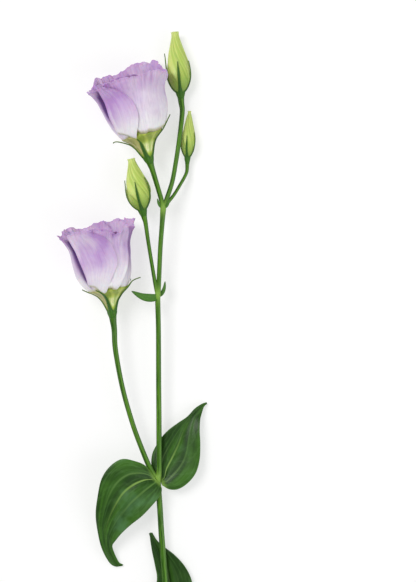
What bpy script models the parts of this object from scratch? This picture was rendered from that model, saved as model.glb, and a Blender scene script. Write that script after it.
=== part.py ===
"""A cut lisianthus stem with two open blooms, three buds and four leaves. It lies on a surface.

The stem runs along +Y from its cut end near the origin, +X is to its right as seen from above, and
the surface is z = 0. Lengths are in millimetres until a mesh is made, and then in metres.
"""

import math

import bmesh
import bpy
import numpy as np

METRES_PER_MM = 0.001

# Clear space between neighbouring pieces, and the thickness of thin ones
SEAT_GAP = 0.3
PETAL_THICK = 0.7
LEAF_THICK = 0.75
SEPAL_THICK = 0.65
KEEL_THICK = 1.0

# The leaves were laid out on a grid of 0.75 mm squares whose corner is up and left of the stem
GRID_STEP = 0.75
GRID_ORIGIN = (170.0, 680.0)

STEM_SIDES = 8
STALK_SIDES = 7
CUP_SIDES = 12

# Main stem: x, y, z and radius from the cut end to the upper fork
MAIN_STEM = [
    (0.2, -5.0, 2.20, 2.40),
    (-0.2, 6.0, 2.20, 2.40),
    (-2.3, 37.5, 4.70, 2.35),
    (-4.2, 73.5, 7.10, 2.30),
    (-6.6, 105.3, 9.10, 2.25),
    (-8.0, 129.0, 10.50, 2.20),
    (-9.3, 145.0, 11.40, 2.35),
    (-9.6, 150.5, 11.70, 2.55),
    (-8.6, 157.0, 12.10, 2.15),
    (-8.5, 189.2, 13.60, 2.05),
    (-8.7, 225.0, 15.10, 2.00),
    (-8.8, 262.0, 16.50, 1.95),
    (-9.3, 284.0, 17.20, 2.05),
    (-9.3, 289.0, 17.35, 2.25),
    (-8.6, 296.0, 17.60, 1.85),
    (-7.3, 324.0, 18.40, 1.80),
    (-5.9, 343.0, 18.90, 1.90),
    (-5.1, 354.0, 19.20, 2.30),
    (-5.0, 358.0, 19.30, 1.60),
]

# Side stalks: x, y, z and radius. Each starts inside the stem; its last points are added at its bloom.
STALK_TO_BLOOM_LEFT = [
    (-9.6, 147.5, 11.50, 1.70),
    (-11.6, 151.5, 12.00, 1.85),
    (-15.1, 158.5, 12.80, 1.75),
    (-21.0, 174.2, 14.20, 1.65),
    (-28.0, 192.5, 15.60, 1.60),
    (-35.5, 219.0, 17.40, 1.65),
    (-40.6, 247.0, 19.00, 1.75),
]
STALK_TO_BUD_LOW = [
    (-9.3, 287.0, 17.30, 1.30),
    (-11.0, 296.0, 17.80, 1.45),
    (-14.0, 314.0, 18.40, 1.40),
    (-16.4, 329.0, 18.80, 1.45),
]
STALK_TO_BLOOM_UPPER = [
    (-5.1, 353.0, 19.20, 1.60),
    (-6.6, 360.5, 19.60, 1.80),
    (-8.9, 368.5, 20.00, 1.80),
]
STALK_TO_BUD_TALL = [
    (-5.0, 353.0, 19.20, 1.50),
    (-2.8, 360.0, 18.90, 1.75),
    (1.5, 373.5, 17.60, 1.70),
    (4.5, 390.0, 15.80, 1.70),
    (7.3, 410.0, 13.10, 1.75),
]
STALK_TO_BUD_SMALL = [
    (-5.0, 353.5, 19.10, 1.20),
    (-1.5, 358.5, 17.60, 1.35),
    (2.6, 364.5, 14.60, 1.25),
    (6.6, 373.5, 10.60, 1.25),
]

# Outer profile of the corolla tube and its petals: height up the bloom and radius
BLOOM_LEFT_PROFILE = [
    (1.3, 3.0), (5.0, 4.4), (9.0, 6.1), (12.0, 8.2), (14.0, 10.0), (16.0, 12.6), (18.0, 15.6), (21.0, 18.6),
    (24.5, 20.6), (31.0, 22.7), (41.0, 23.7), (50.0, 24.3), (57.0, 26.8), (62.5, 29.3), (68.0, 30.4),
]
BLOOM_UPPER_PROFILE = [
    (1.3, 3.0), (5.0, 4.4), (9.0, 6.1), (12.0, 8.2), (14.0, 10.2), (16.2, 13.2), (18.5, 16.2), (21.5, 18.8),
    (25.0, 21.0), (29.5, 23.0), (37.0, 24.8), (44.0, 25.2), (49.5, 26.2), (56.2, 29.8), (60.0, 31.6),
    (68.0, 32.8),
]

# Second and third whorl, as the radius of the petals' middle
SECOND_PROFILE = [
    (6.0, 2.9), (9.0, 3.8), (11.0, 4.8), (15.0, 7.3), (20.0, 11.3), (28.0, 15.6), (38.0, 17.6), (48.0, 18.3),
    (54.0, 19.6), (62.0, 22.6),
]
THIRD_PROFILE = [
    (5.0, 2.5), (8.0, 2.8), (10.0, 3.4), (15.0, 5.1), (20.0, 7.4), (28.0, 10.0), (38.0, 11.3), (48.0, 11.9),
    (56.0, 13.6),
]

# Petals, each as centre angle, half width at the foot and at its widest, edge order, height, and how far
# its corners are rounded down. Angle 90 faces up. The order and the corners are for the edge at the
# lower and at the higher angle, and an order of 1 is over the neighbour and -1 is under it.
BLOOM_LEFT_OUTER = [
    (114.0, 36.0, 53.0, (1, 1), 66.0, (0.32, 0.05)),
    (40.0, 38.0, 52.0, (1, -1), 62.5, (0.06, 0.08)),
    (327.0, 38.0, 50.0, (-1, -1), 65.0, (0.10, 0.10)),
    (256.0, 38.0, 50.0, (1, 1), 65.5, (0.12, 0.10)),
    (186.0, 38.0, 48.0, (-1, -1), 63.5, (0.08, 0.10)),
]
BLOOM_UPPER_OUTER = [
    (124.0, 36.0, 47.0, (1, 1), 62.0, (0.34, 0.05)),
    (56.0, 40.0, 60.0, (1, -1), 66.5, (0.12, 0.05)),
    (334.0, 40.0, 50.0, (-1, -1), 62.5, (0.10, 0.12)),
    (264.0, 38.0, 50.0, (1, 1), 67.5, (0.10, 0.12)),
    (194.0, 38.0, 48.0, (-1, -1), 62.0, (0.10, 0.08)),
]
SECOND_STEP = 72.0
THIRD_STEP = 90.0


def unit(vector):
    """The vector scaled to length one."""
    vector = np.asarray(vector, float)
    return vector / np.linalg.norm(vector)


def smooth_line(points, per_span):
    """Points on a smooth line through the given ones, with every given one kept."""
    points = np.asarray(points, float)
    padded = np.vstack([2 * points[0] - points[1], points, 2 * points[-1] - points[-2]])
    line = []
    for i in range(1, len(padded) - 2):
        a, b, c, d = padded[i - 1 : i + 3]
        for step in range(per_span):
            t = step / per_span
            spread = 2 * a - 5 * b + 4 * c - d
            twist = 3 * b - a - 3 * c + d
            line.append(0.5 * (2 * b + (c - a) * t + spread * t * t + twist * t**3))
    line.append(points[-1])
    return np.array(line)


def ease(value, low, high):
    """0 below low, 1 above high and a smooth rise between them."""
    t = np.clip((value - low) / (high - low), 0.0, 1.0)
    return t * t * (3 - 2 * t)


def interpolated(profile, height):
    """The radius of a profile at a height, on a smooth line through its points."""
    line = smooth_line(profile, 4)
    return np.interp(height, line[:, 0], line[:, 1])


class Seat:
    """The local frame of a bloom or bud: h runs up its axis, x to the right and y toward the sky."""

    def __init__(self, x, y, z, tilt_left, rise):
        self.base = np.array([x, y, z], float)
        tilt = math.radians(tilt_left)
        lift = math.radians(rise)
        self.axis = np.array([-math.sin(tilt) * math.cos(lift), math.cos(tilt) * math.cos(lift), math.sin(lift)])
        self.right = unit(np.cross(self.axis, (0.0, 0.0, 1.0)))
        self.up = np.cross(self.right, self.axis)

    def world(self, local):
        """World points for local ones, whose last axis holds x, y and h."""
        local = np.asarray(local, float)
        return (
            self.base
            + local[..., 0:1] * self.right
            + local[..., 1:2] * self.up
            + local[..., 2:3] * self.axis
        )

    def round(self, angle, height, radius):
        """World points at angles in degrees, heights and radii about the axis."""
        turn = np.radians(angle)
        local = np.stack([radius * np.cos(turn), radius * np.sin(turn), height + 0 * turn], axis=-1)
        return self.world(local)


def make_solid(name, points, faces):
    """A mesh object from points in millimetres."""
    mesh = bpy.data.meshes.new(name)
    mesh.from_pydata((np.asarray(points) * METRES_PER_MM).tolist(), [], faces)
    mesh.update()
    solid = bpy.data.objects.new(name, mesh)
    bpy.context.scene.collection.objects.link(solid)
    return solid


def ring_stack(name, rings, start_point=None, end_point=None):
    """A closed body through rings of equal count, with flat or pointed ends."""
    rings = [np.asarray(ring, float) for ring in rings]
    sides = len(rings[0])
    points = np.vstack(rings)
    faces = []
    for level in range(len(rings) - 1):
        for side in range(sides):
            a = level * sides + side
            b = level * sides + (side + 1) % sides
            faces.append((a, b, b + sides))
            faces.append((a, b + sides, a + sides))
    last = (len(rings) - 1) * sides
    if start_point is None:
        faces.append(tuple(reversed(range(sides))))
    else:
        points = np.vstack([points, start_point])
        tip = len(points) - 1
        for side in range(sides):
            faces.append((tip, (side + 1) % sides, side))
    if end_point is None:
        faces.append(tuple(last + side for side in range(sides)))
    else:
        points = np.vstack([points, end_point])
        tip = len(points) - 1
        for side in range(sides):
            faces.append((tip, last + side, last + (side + 1) % sides))
    return make_solid(name, points, faces)


def turned(name, seat, profile, sides, ripple=None):
    """A body turned about the seat's axis. The profile starts and ends on the axis."""
    angles = np.arange(sides) * 360.0 / sides
    rings = []
    for height, radius in profile[1:-1]:
        radii = np.full(sides, float(radius))
        if ripple is not None:
            radii = radii * ripple(angles, height)
        rings.append(seat.round(angles, np.full(sides, float(height)), radii))
    start = seat.world((0.0, 0.0, profile[0][0]))
    end = seat.world((0.0, 0.0, profile[-1][0]))
    return ring_stack(name, rings, start, end)


def tube(name, line, sides):
    """A round stem along a line of x, y, z and radius. Nothing of it goes below the surface."""
    path = line[:, :3]
    ahead = np.gradient(path, axis=0)
    side_way = unit(np.cross(ahead[0], (0.0, 0.0, 1.0)))
    rings = []
    turn = (np.arange(sides) + 0.5) * 2 * math.pi / sides + math.pi / 2
    for centre, forward, radius in zip(path, ahead, line[:, 3]):
        forward = unit(forward)
        side_way = unit(side_way - forward * np.dot(side_way, forward))
        up_way = np.cross(side_way, forward)
        ring = centre + radius * (np.cos(turn)[:, None] * side_way + np.sin(turn)[:, None] * up_way)
        ring[:, 2] = np.maximum(ring[:, 2], 0.0)
        rings.append(ring[::-1])
    return ring_stack(name, rings)


def sheet_normals(middle):
    """Unit normals of a grid of points."""
    along = np.gradient(middle, axis=0)
    across = np.gradient(middle, axis=1)
    normals = np.cross(along, across)
    return normals / np.linalg.norm(normals, axis=-1, keepdims=True)


def blade(name, front, back):
    """A closed thin body between two grids of points, split into triangles alike on both faces."""
    rows, columns = front.shape[:2]
    points = np.vstack([front.reshape(-1, 3), back.reshape(-1, 3)])
    shift = rows * columns
    faces = []
    for row in range(rows - 1):
        for column in range(columns - 1):
            a = row * columns + column
            b = a + 1
            c = a + columns
            d = c + 1
            if (row + column) % 2:
                halves = [(a, b, d), (a, d, c)]
            else:
                halves = [(a, b, c), (b, d, c)]
            for half in halves:
                faces.append(half)
                faces.append(tuple(shift + corner for corner in reversed(half)))
    rim = [column for column in range(columns)]
    rim += [row * columns + columns - 1 for row in range(1, rows)]
    rim += [(rows - 1) * columns + column for column in range(columns - 2, -1, -1)]
    rim += [row * columns for row in range(rows - 2, 0, -1)]
    for here, following in zip(rim, rim[1:] + rim[:1]):
        faces.append((following, here, here + shift))
        faces.append((following, here + shift, following + shift))
    return make_solid(name, points, faces)


def thick_sheet(name, middle, thickness):
    """A blade of even thickness about a grid of points."""
    normals = sheet_normals(middle)
    return blade(name, middle + normals * thickness / 2, middle - normals * thickness / 2)


def face_outward(solid):
    """Turns the faces outward, splits them into triangles and shades them smooth."""
    shape = bmesh.new()
    shape.from_mesh(solid.data)
    bmesh.ops.triangulate(shape, faces=[face for face in shape.faces if len(face.verts) > 3])
    bmesh.ops.recalc_face_normals(shape, faces=shape.faces)
    if shape.calc_volume(signed=True) < 0:
        bmesh.ops.reverse_faces(shape, faces=shape.faces)
    for face in shape.faces:
        face.smooth = True
    shape.to_mesh(solid.data)
    shape.free()


def grown_together(name, solids, solver="EXACT"):
    """One body from solids that overlap, made by one union."""
    for solid in solids:
        face_outward(solid)
    first = solids[0]
    if len(solids) > 1:
        group = bpy.data.collections.new(name + "_parts")
        bpy.context.scene.collection.children.link(group)
        for solid in solids[1:]:
            bpy.context.scene.collection.objects.unlink(solid)
            group.objects.link(solid)
        union = first.modifiers.new("union", "BOOLEAN")
        union.operation = "UNION"
        union.operand_type = "COLLECTION"
        union.collection = group
        union.solver = solver
        bpy.context.view_layer.update()
        graph = bpy.context.evaluated_depsgraph_get()
        joined = bpy.data.meshes.new_from_object(first.evaluated_get(graph))
        first.modifiers.remove(union)
        first.data = joined
        for solid in solids[1:]:
            bpy.data.objects.remove(solid)
        bpy.data.collections.remove(group)
    first.name = name
    first.data.name = name
    tidy(first)
    return first


def tidy(solid):
    """Joins points that lie on each other and keeps the largest closed body."""
    shape = bmesh.new()
    shape.from_mesh(solid.data)
    bmesh.ops.remove_doubles(shape, verts=shape.verts, dist=0.0005 * METRES_PER_MM)
    bmesh.ops.dissolve_degenerate(shape, edges=shape.edges, dist=0.0002 * METRES_PER_MM)
    bmesh.ops.triangulate(shape, faces=[face for face in shape.faces if len(face.verts) > 3])
    waiting = set(shape.verts)
    islands = []
    while waiting:
        island = {waiting.pop()}
        edge_of_island = list(island)
        while edge_of_island:
            vert = edge_of_island.pop()
            for edge in vert.link_edges:
                other = edge.other_vert(vert)
                if other in waiting:
                    waiting.remove(other)
                    island.add(other)
                    edge_of_island.append(other)
        islands.append(island)
    islands.sort(key=len)
    for island in islands[:-1]:
        bmesh.ops.delete(shape, geom=list(island), context="VERTS")
    for face in shape.faces:
        face.smooth = True
    shape.to_mesh(solid.data)
    shape.free()


def petal_sheet(seat, profile, petal, foot, rows, columns, spread, waves, middle_shift):
    """The middle surface of one petal as a grid, row by row from its foot to its rim."""
    centre, half_foot, half_wide, order, rim_height, corners = petal
    across = np.linspace(-1.0, 1.0, columns)
    rows = np.asarray(rows, float)[:, None]
    t = (rows - rows[0]) / (rows[-1] - rows[0])
    half = half_foot + (half_wide - half_foot) * ease(t, 0.05, 0.62)
    angle = centre + half * across
    lean = np.where(across < 0, order[0], order[1]) * np.abs(across)
    if order[0] == order[1]:
        lean = np.full(columns, float(order[0]))
    elif order[0] > order[1]:
        lean = -across
    else:
        lean = across
    corner = np.where(across < 0, corners[0], corners[1])
    top = foot + (rim_height - foot) * (1.0 - corner * np.abs(across) ** 2.6)
    height = foot + (top - foot) * t
    apart = spread * ease(height, foot + 1.0, foot + 6.0)
    radius = interpolated(profile, height) - middle_shift(height, apart) + apart * lean
    wave_size = waves * ease(t, 0.62, 1.0)
    radius = radius + wave_size * np.sin(np.radians(angle) * 9.0 + height * 0.10)
    height = height + 0.8 * wave_size * np.sin(np.radians(angle) * 13.0 + 1.0)
    return seat.round(angle, height, radius)


OUTER_ROWS = (10.0, 15.5, 19.0, 24.0, 31.0, 40.0, 49.0, 57.5, 66.0)
SECOND_ROWS = (7.0, 12.0, 18.0, 26.0, 37.0, 48.0, 60.0)
THIRD_ROWS = (6.0, 11.0, 18.0, 28.0, 41.0, 55.0)


def outer_sheets(seat, profile, petals):
    """Middle surfaces of the five outer petals."""

    def shift(height, apart):
        return PETAL_THICK / 2 + apart

    return [
        petal_sheet(seat, profile, petal, 10.0, OUTER_ROWS, 7, 0.8, 1.0, shift) for petal in petals
    ]


def second_sheets(seat, turn, rim):
    """Middle surfaces of the five petals of the second whorl, each over the next like a pinwheel."""

    def shift(height, apart):
        return 0.0

    sheets = []
    for i in range(5):
        rim_height = rim - (0.0, 2.5, 1.0, 3.0, 1.5)[i]
        petal = (turn + i * SECOND_STEP, 46.0, 50.0, (-1, 1), rim_height, (0.14, 0.14))
        sheets.append(petal_sheet(seat, SECOND_PROFILE, petal, 7.0, SECOND_ROWS, 6, 0.75, 0.7, shift))
    return sheets


def third_sheets(seat, turn, rim):
    """Middle surfaces of the four inmost petals."""

    def shift(height, apart):
        return 0.0

    sheets = []
    for i in range(4):
        rim_height = rim - (0.0, 3.0, 1.0, 4.0)[i]
        petal = (turn + i * THIRD_STEP, 54.0, 60.0, (-1, 1), rim_height, (0.16, 0.16))
        sheets.append(petal_sheet(seat, THIRD_PROFILE, petal, 6.0, THIRD_ROWS, 5, 0.7, 0.6, shift))
    return sheets


def bloom_tube(seat, profile):
    """The corolla tube: a cup whose wall holds the feet of the petals."""
    outer = [(h, float(interpolated(profile, h))) for h in (1.3, 4.0, 8.0, 12.0, 15.8)]
    rim = outer[-1][1]
    inner = [(15.8, rim - 2.5), (12.0, 5.4), (9.0, 2.7), (4.3, 1.9)]
    return turned("tube", seat, [(1.3, 0.0)] + outer + inner + [(4.3, 0.0)], 16)


def build_corolla(name, seat, profile, petals, turn, rim):
    """The petals of a bloom in three layers, grown together with the tube."""
    solids = [bloom_tube(seat, profile)]
    sheets = outer_sheets(seat, profile, petals)
    sheets += second_sheets(seat, turn, rim - 3.0)
    sheets += third_sheets(seat, turn + 20.0, rim - 10.0)
    for number, sheet in enumerate(sheets):
        solids.append(thick_sheet(f"petal_{number}", sheet, PETAL_THICK))
    return grown_together(name, solids)


def sepal(seat, profile, angle, tip_height, hook, width, rows=7):
    """One narrow sepal with a keel. It hugs the profile, and its tip bends out by the hook."""
    t = np.linspace(0.0, 1.0, rows)
    height = 1.8 + (tip_height - 1.8) * t
    clear = SEAT_GAP + 0.15 + 0.4 * ease(height, 5.0, 12.0)
    inside = interpolated(profile, height) + clear + hook * ease(t, 0.55, 1.0) ** 1.5
    half = 0.5 * (width * (1.0 - t) ** 0.75 * (0.75 + 0.9 * t) + 0.8)
    faces = []
    for thick_edge, thick_keel in ((SEPAL_THICK, KEEL_THICK), (0.0, 0.0)):
        grid = np.zeros((rows, 3, 3))
        for column, side in enumerate((-1.0, 0.0, 1.0)):
            thick = thick_keel if side == 0.0 else thick_edge
            grid[:, column, 0] = inside + thick
            grid[:, column, 1] = side * half
            grid[:, column, 2] = height
        turn = math.radians(angle)
        local = np.stack(
            [
                grid[..., 0] * math.cos(turn) - grid[..., 1] * math.sin(turn),
                grid[..., 0] * math.sin(turn) + grid[..., 1] * math.cos(turn),
                grid[..., 2],
            ],
            axis=-1,
        )
        faces.append(seat.world(local))
    return blade("sepal", faces[0], faces[1])


def build_calyx(name, seat, profile, sepals, foot_radius, width):
    """A green cup round the foot of a bloom or bud, with its five sepals."""
    cup_top = 3.6
    flat_side = 1.0 / math.cos(math.pi / CUP_SIDES)
    outer = [(0.0, foot_radius)]
    for height in (1.6, cup_top):
        outer.append((height, float(interpolated(profile, height)) * flat_side + SEAT_GAP + 0.9))
    inner = []
    for height in (cup_top, 1.3):
        inner.append((height, float(interpolated(profile, height)) * flat_side + SEAT_GAP))
    floor = inner[-1][0] - SEAT_GAP
    inner.append((floor, inner[-1][1] - 0.2))
    solids = [turned("cup", seat, [(0.0, 0.0)] + outer + inner + [(floor, 0.0)], CUP_SIDES)]
    for angle, tip_height, hook in sepals:
        solids.append(sepal(seat, profile, angle, tip_height, hook, width))
    return grown_together(name, solids)


def ball(name, seat, x, y, h, across, along, sides=6, levels=4):
    """A rounded body about the seat's axis direction."""
    rings = []
    angles = np.arange(sides) * 2 * math.pi / sides
    for level in range(1, levels):
        turn = math.pi * level / levels
        ring_radius = across * math.sin(turn)
        ring = np.stack(
            [
                x + ring_radius * np.cos(angles),
                y + ring_radius * np.sin(angles),
                np.full(sides, h - along * math.cos(turn)),
            ],
            axis=-1,
        )
        rings.append(seat.world(ring))
    start = seat.world((x, y, h - along))
    end = seat.world((x, y, h + along))
    return ring_stack(name, rings, start, end)


def build_pistil(name, seat):
    """Ovary, style, two-lobed stigma and the five stamens round it."""
    profile = [
        (4.6, 0.0), (4.6, 1.3), (7.0, 1.7), (13.0, 1.9), (17.0, 1.2), (19.5, 0.75), (28.0, 0.7),
        (28.4, 0.0),
    ]
    solids = [turned("ovary", seat, profile, 7)]
    solids.append(ball("stigma_a", seat, 0.9, 0.3, 28.6, 1.5, 1.3))
    solids.append(ball("stigma_b", seat, -0.9, -0.3, 28.6, 1.5, 1.3))
    for i in range(5):
        turn = math.radians(30.0 + 72.0 * i)
        line = []
        for height, radius in ((8.5, 1.2), (12.0, 2.1), (16.0, 3.4), (21.0, 4.4)):
            point = seat.world((radius * math.cos(turn), radius * math.sin(turn), height))
            line.append((*point, 0.42))
        solids.append(tube("filament", smooth_line(line, 1), 4))
        solids.append(ball("anther", seat, 4.5 * math.cos(turn), 4.5 * math.sin(turn), 22.0, 0.85, 2.0, 5, 3))
    return grown_together(name, solids)


def build_bud(name, seat, profile, turns):
    """A closed bud whose petals are wound round each other, as ridges that run up it slantwise."""
    length = profile[-1][0]

    def ripple(angles, height):
        depth = 0.075 * ease(height, 0.08 * length, 0.3 * length)
        phase = 5.0 * (angles / 360.0 - turns * height / length)
        saw = phase - np.floor(phase)
        return 1.0 + depth * (saw - 1.0)

    rings = [(float(h), float(r)) for h, r in profile]
    return turned(name, seat, [(rings[0][0], 0.0)] + rings + [(rings[-1][0] - 1.2, 0.0)], 20, ripple)


def leaf_points(stations):
    """Station rows of grid corners and heights, as left edge, midrib and right edge points."""
    rows = []
    for station in stations:
        row = []
        for across, down, z in station:
            row.append(((across - GRID_ORIGIN[0]) * GRID_STEP, (GRID_ORIGIN[1] - down) * GRID_STEP, z))
        rows.append(row)
    return np.array(rows, float)


def leaf_sheet(stations, per_span, columns, fold):
    """The middle surface of a leaf through its stations. Its halves bulge between midrib and edge."""
    rows = leaf_points(stations)
    left = smooth_line(rows[:, 0], per_span)
    rib = smooth_line(rows[:, 1], per_span)
    right = smooth_line(rows[:, 2], per_span)
    grid = np.zeros((len(rib), 2 * columns + 1, 3))
    for column in range(-columns, columns + 1):
        part = abs(column) / columns
        edge = left if column < 0 else right
        point = rib + (edge - rib) * part
        reach = np.linalg.norm(edge - rib, axis=1)
        point[:, 2] += fold * reach * math.sin(math.pi * part)
        grid[:, column + columns] = point
    return grid


LEAF_LEFT = [
    ((154.8, 479.6, 14.9), (156.2, 481.2, 14.7), (158.2, 483.2, 14.7)),
    ((146.0, 466.5, 18.6), (150.6, 480.3, 16.4), (161.6, 489.9, 15.6)),
    ((134.5, 460.4, 22.5), (143.6, 480.4, 19.4), (159.4, 497.0, 17.2)),
    ((121.9, 458.4, 24.6), (133.8, 484.3, 21.4), (150.0, 508.0, 18.6)),
    ((110.3, 465.6, 25.2), (123.5, 492.3, 22.0), (141.0, 517.0, 19.0)),
    ((102.0, 478.0, 24.4), (115.8, 504.2, 21.2), (131.5, 524.6, 18.2)),
    ((98.0, 495.0, 21.6), (109.3, 517.8, 18.8), (122.0, 533.6, 16.2)),
    ((95.6, 515.0, 17.6), (105.8, 530.5, 15.2), (115.2, 541.5, 13.0)),
    ((97.6, 535.0, 12.6), (105.4, 543.0, 10.8), (113.0, 546.5, 9.6)),
    ((103.8, 551.0, 7.8), (109.0, 552.6, 7.0), (115.0, 551.6, 7.4)),
    ((112.5, 563.8, 4.0), (115.6, 560.2, 3.6), (118.8, 557.6, 4.6)),
    ((122.4, 565.4, 1.6), (122.8, 564.6, 1.5), (123.2, 563.8, 1.7)),
]
LEAF_RIGHT = [
    ((158.2, 478.8, 8.4), (160.7, 481.2, 9.3), (161.8, 485.2, 10.4)),
    ((155.2, 475.0, 7.6), (164.4, 477.2, 8.2), (169.6, 489.4, 10.8)),
    ((151.4, 465.0, 6.7), (166.4, 469.0, 7.3), (179.0, 489.0, 11.0)),
    ((152.2, 454.0, 6.5), (170.6, 460.6, 6.9), (189.0, 482.0, 11.6)),
    ((156.4, 445.2, 6.9), (174.2, 453.2, 6.9), (196.3, 472.0, 12.0)),
    ((162.2, 436.4, 7.6), (178.0, 445.2, 7.2), (199.8, 459.0, 11.8)),
    ((169.2, 429.2, 8.2), (181.4, 435.6, 7.2), (200.4, 444.0, 11.2)),
    ((178.4, 422.6, 8.2), (185.4, 426.2, 6.8), (199.8, 430.6, 10.0)),
    ((187.4, 416.4, 7.2), (190.6, 417.2, 6.0), (200.2, 420.4, 8.2)),
    ((194.4, 408.8, 5.4), (196.4, 410.8, 4.8), (201.8, 413.6, 6.2)),
    ((201.0, 404.2, 3.6), (202.0, 405.8, 3.4), (204.0, 407.0, 4.0)),
    ((206.4, 402.2, 2.0), (206.8, 402.9, 2.0), (207.0, 403.8, 2.1)),
]
LEAF_LOW_BACK = [
    ((166.6, 641.5, 0.75), (167.8, 641.8, 0.75), (169.2, 641.5, 0.75)),
    ((163.0, 634.0, 1.40), (168.2, 634.0, 0.75), (174.0, 634.5, 1.80)),
    ((158.0, 623.0, 2.60), (169.0, 622.0, 0.85), (182.5, 624.0, 3.60)),
    ((155.0, 608.0, 3.60), (169.6, 607.0, 1.20), (190.0, 611.0, 5.00)),
    ((154.8, 592.0, 3.80), (169.6, 591.0, 1.90), (193.6, 595.0, 5.60)),
    ((157.0, 578.0, 3.80), (168.6, 577.0, 2.60), (191.2, 579.0, 5.60)),
    ((154.8, 565.0, 4.20), (165.8, 564.6, 3.30), (184.2, 565.4, 5.60)),
    ((152.2, 552.6, 4.60), (161.0, 553.2, 3.90), (174.4, 554.6, 5.40)),
    ((150.7, 543.0, 4.60), (156.2, 543.8, 4.10), (164.4, 547.0, 4.90)),
    ((149.8, 536.8, 4.20), (153.0, 537.6, 4.00), (157.4, 540.8, 4.20)),
    ((148.9, 533.4, 3.60), (150.3, 532.6, 3.60), (152.3, 532.6, 3.60)),
]
LEAF_LOW_SIDE = [
    ((164.1, 639.5, 4.9), (163.2, 641.0, 4.6), (162.3, 642.5, 4.4)),
    ((161.2, 631.1, 6.6), (157.5, 637.6, 5.4), (153.8, 644.1, 5.2)),
    ((155.7, 623.6, 8.2), (150.0, 633.6, 6.4), (144.3, 643.6, 6.0)),
    ((147.7, 616.9, 9.0), (140.5, 628.0, 7.0), (133.3, 639.1, 6.4)),
    ((137.5, 610.5, 8.8), (130.0, 620.6, 6.8), (122.5, 630.7, 6.0)),
    ((125.6, 604.7, 7.4), (119.5, 612.4, 5.6), (113.4, 620.1, 4.8)),
    ((113.1, 599.8, 5.2), (109.5, 604.4, 4.0), (105.9, 609.0, 3.4)),
    ((101.7, 596.0, 2.6), (100.5, 597.5, 2.3), (99.3, 599.0, 2.4)),
]


def build_leaf(name, stations, fold):
    """A leaf of even thickness with a stout foot and a thin tip."""
    sheet = leaf_sheet(stations, 1, 3, fold)
    leaf = thick_sheet(name, sheet, LEAF_THICK)
    face_outward(leaf)
    return leaf


def bract(points, width, lift):
    """A small pointed leaf from a fork. Its foot is sunk in the stem."""
    line = smooth_line(points, 2)
    count = len(line)
    t = np.linspace(0.0, 1.0, count)
    half = 0.5 * (width * np.sin(math.pi * np.clip(0.16 + 0.84 * t, 0, 1)) ** 0.8 + 0.8)
    ahead = np.gradient(line, axis=0)
    side_way = np.cross(ahead, (0.0, 0.0, 1.0))
    side_way = side_way / np.linalg.norm(side_way, axis=1, keepdims=True)
    grid = np.zeros((count, 3, 3))
    for column, side in enumerate((-1.0, 0.0, 1.0)):
        grid[:, column] = line + side_way * (side * half)[:, None]
        grid[:, column, 2] += lift * half * side * side
    return thick_sheet("bract", grid, SEPAL_THICK)


BRACTS = [
    ([(-8.6, 287.6, 17.6), (-13.6, 286.6, 20.2), (-20.6, 287.6, 21.6), (-28.8, 291.6, 20.6)], 5.6, 0.25),
    ([(-9.4, 287.8, 17.0), (-6.6, 289.6, 15.6), (-4.6, 293.6, 14.8), (-3.8, 299.0, 14.8)], 2.6, 0.25),
    ([(-5.4, 354.2, 19.4), (-8.2, 354.6, 20.6), (-10.8, 356.8, 21.6), (-12.4, 360.6, 22.0)], 2.4, 0.25),
    ([(-4.8, 354.0, 19.0), (-1.8, 354.8, 21.4), (0.6, 357.4, 23.2), (2.0, 361.4, 24.2)], 2.4, 0.25),
]


def stalk_end(stalk, seat, under, radius_end):
    """The stalk's points with its last ones set on the axis below a bloom or bud."""
    points = list(stalk)
    for back, part in ((under, 0.15), (0.5 * under, 0.5), (2.0, 0.92), (SEAT_GAP, 1.0)):
        place = seat.world((0.0, 0.0, -back))
        start = stalk[-1][3]
        points.append((*place, start + (radius_end - start) * part))
    return smooth_line(points, 2)


def build_stem(seats):
    """The main stem with its five stalks and its bracts, as one body."""
    solids = [tube("main", smooth_line(MAIN_STEM, 1), STEM_SIDES)]
    ends = (
        (STALK_TO_BLOOM_LEFT, "bloom_left", 14.0, 3.7),
        (STALK_TO_BUD_LOW, "bud_low", 10.0, 3.0),
        (STALK_TO_BLOOM_UPPER, "bloom_upper", 10.0, 3.7),
        (STALK_TO_BUD_TALL, "bud_tall", 14.0, 3.1),
        (STALK_TO_BUD_SMALL, "bud_small", 9.0, 2.2),
    )
    for stalk, where, under, radius_end in ends:
        solids.append(tube(where + "_stalk", stalk_end(stalk, seats[where], under, radius_end), STALK_SIDES))
    for points, width, lift in BRACTS:
        solids.append(bract(points, width, lift))
    return grown_together("stem", solids)


def lowest(sheets, thickness):
    """The lowest z of thick sheets."""
    low = math.inf
    for sheet in sheets:
        normals = sheet_normals(sheet)
        for side in (-0.5, 0.5):
            low = min(low, float((sheet + normals * thickness * side)[..., 2].min()))
    return low


BUD_LOW_PROFILE = [
    (1.3, 3.1), (3.0, 4.9), (6.0, 7.0), (10.0, 8.5), (15.0, 9.0), (21.0, 8.2), (28.0, 6.1), (35.0, 3.8),
    (38.5, 2.8), (40.0, 2.9),
]
BUD_TALL_PROFILE = [
    (1.3, 3.0), (3.0, 4.8), (6.0, 6.8), (10.0, 8.3), (15.0, 9.0), (22.0, 8.3), (30.0, 6.3), (38.0, 4.0),
    (43.5, 2.9), (45.0, 3.1),
]
BUD_SMALL_PROFILE = [
    (1.3, 1.9), (3.0, 2.9), (6.0, 4.1), (10.0, 4.9), (15.0, 5.0), (21.0, 4.1), (27.0, 2.9), (32.0, 2.1),
    (34.5, 1.7), (35.5, 1.9),
]

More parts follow.
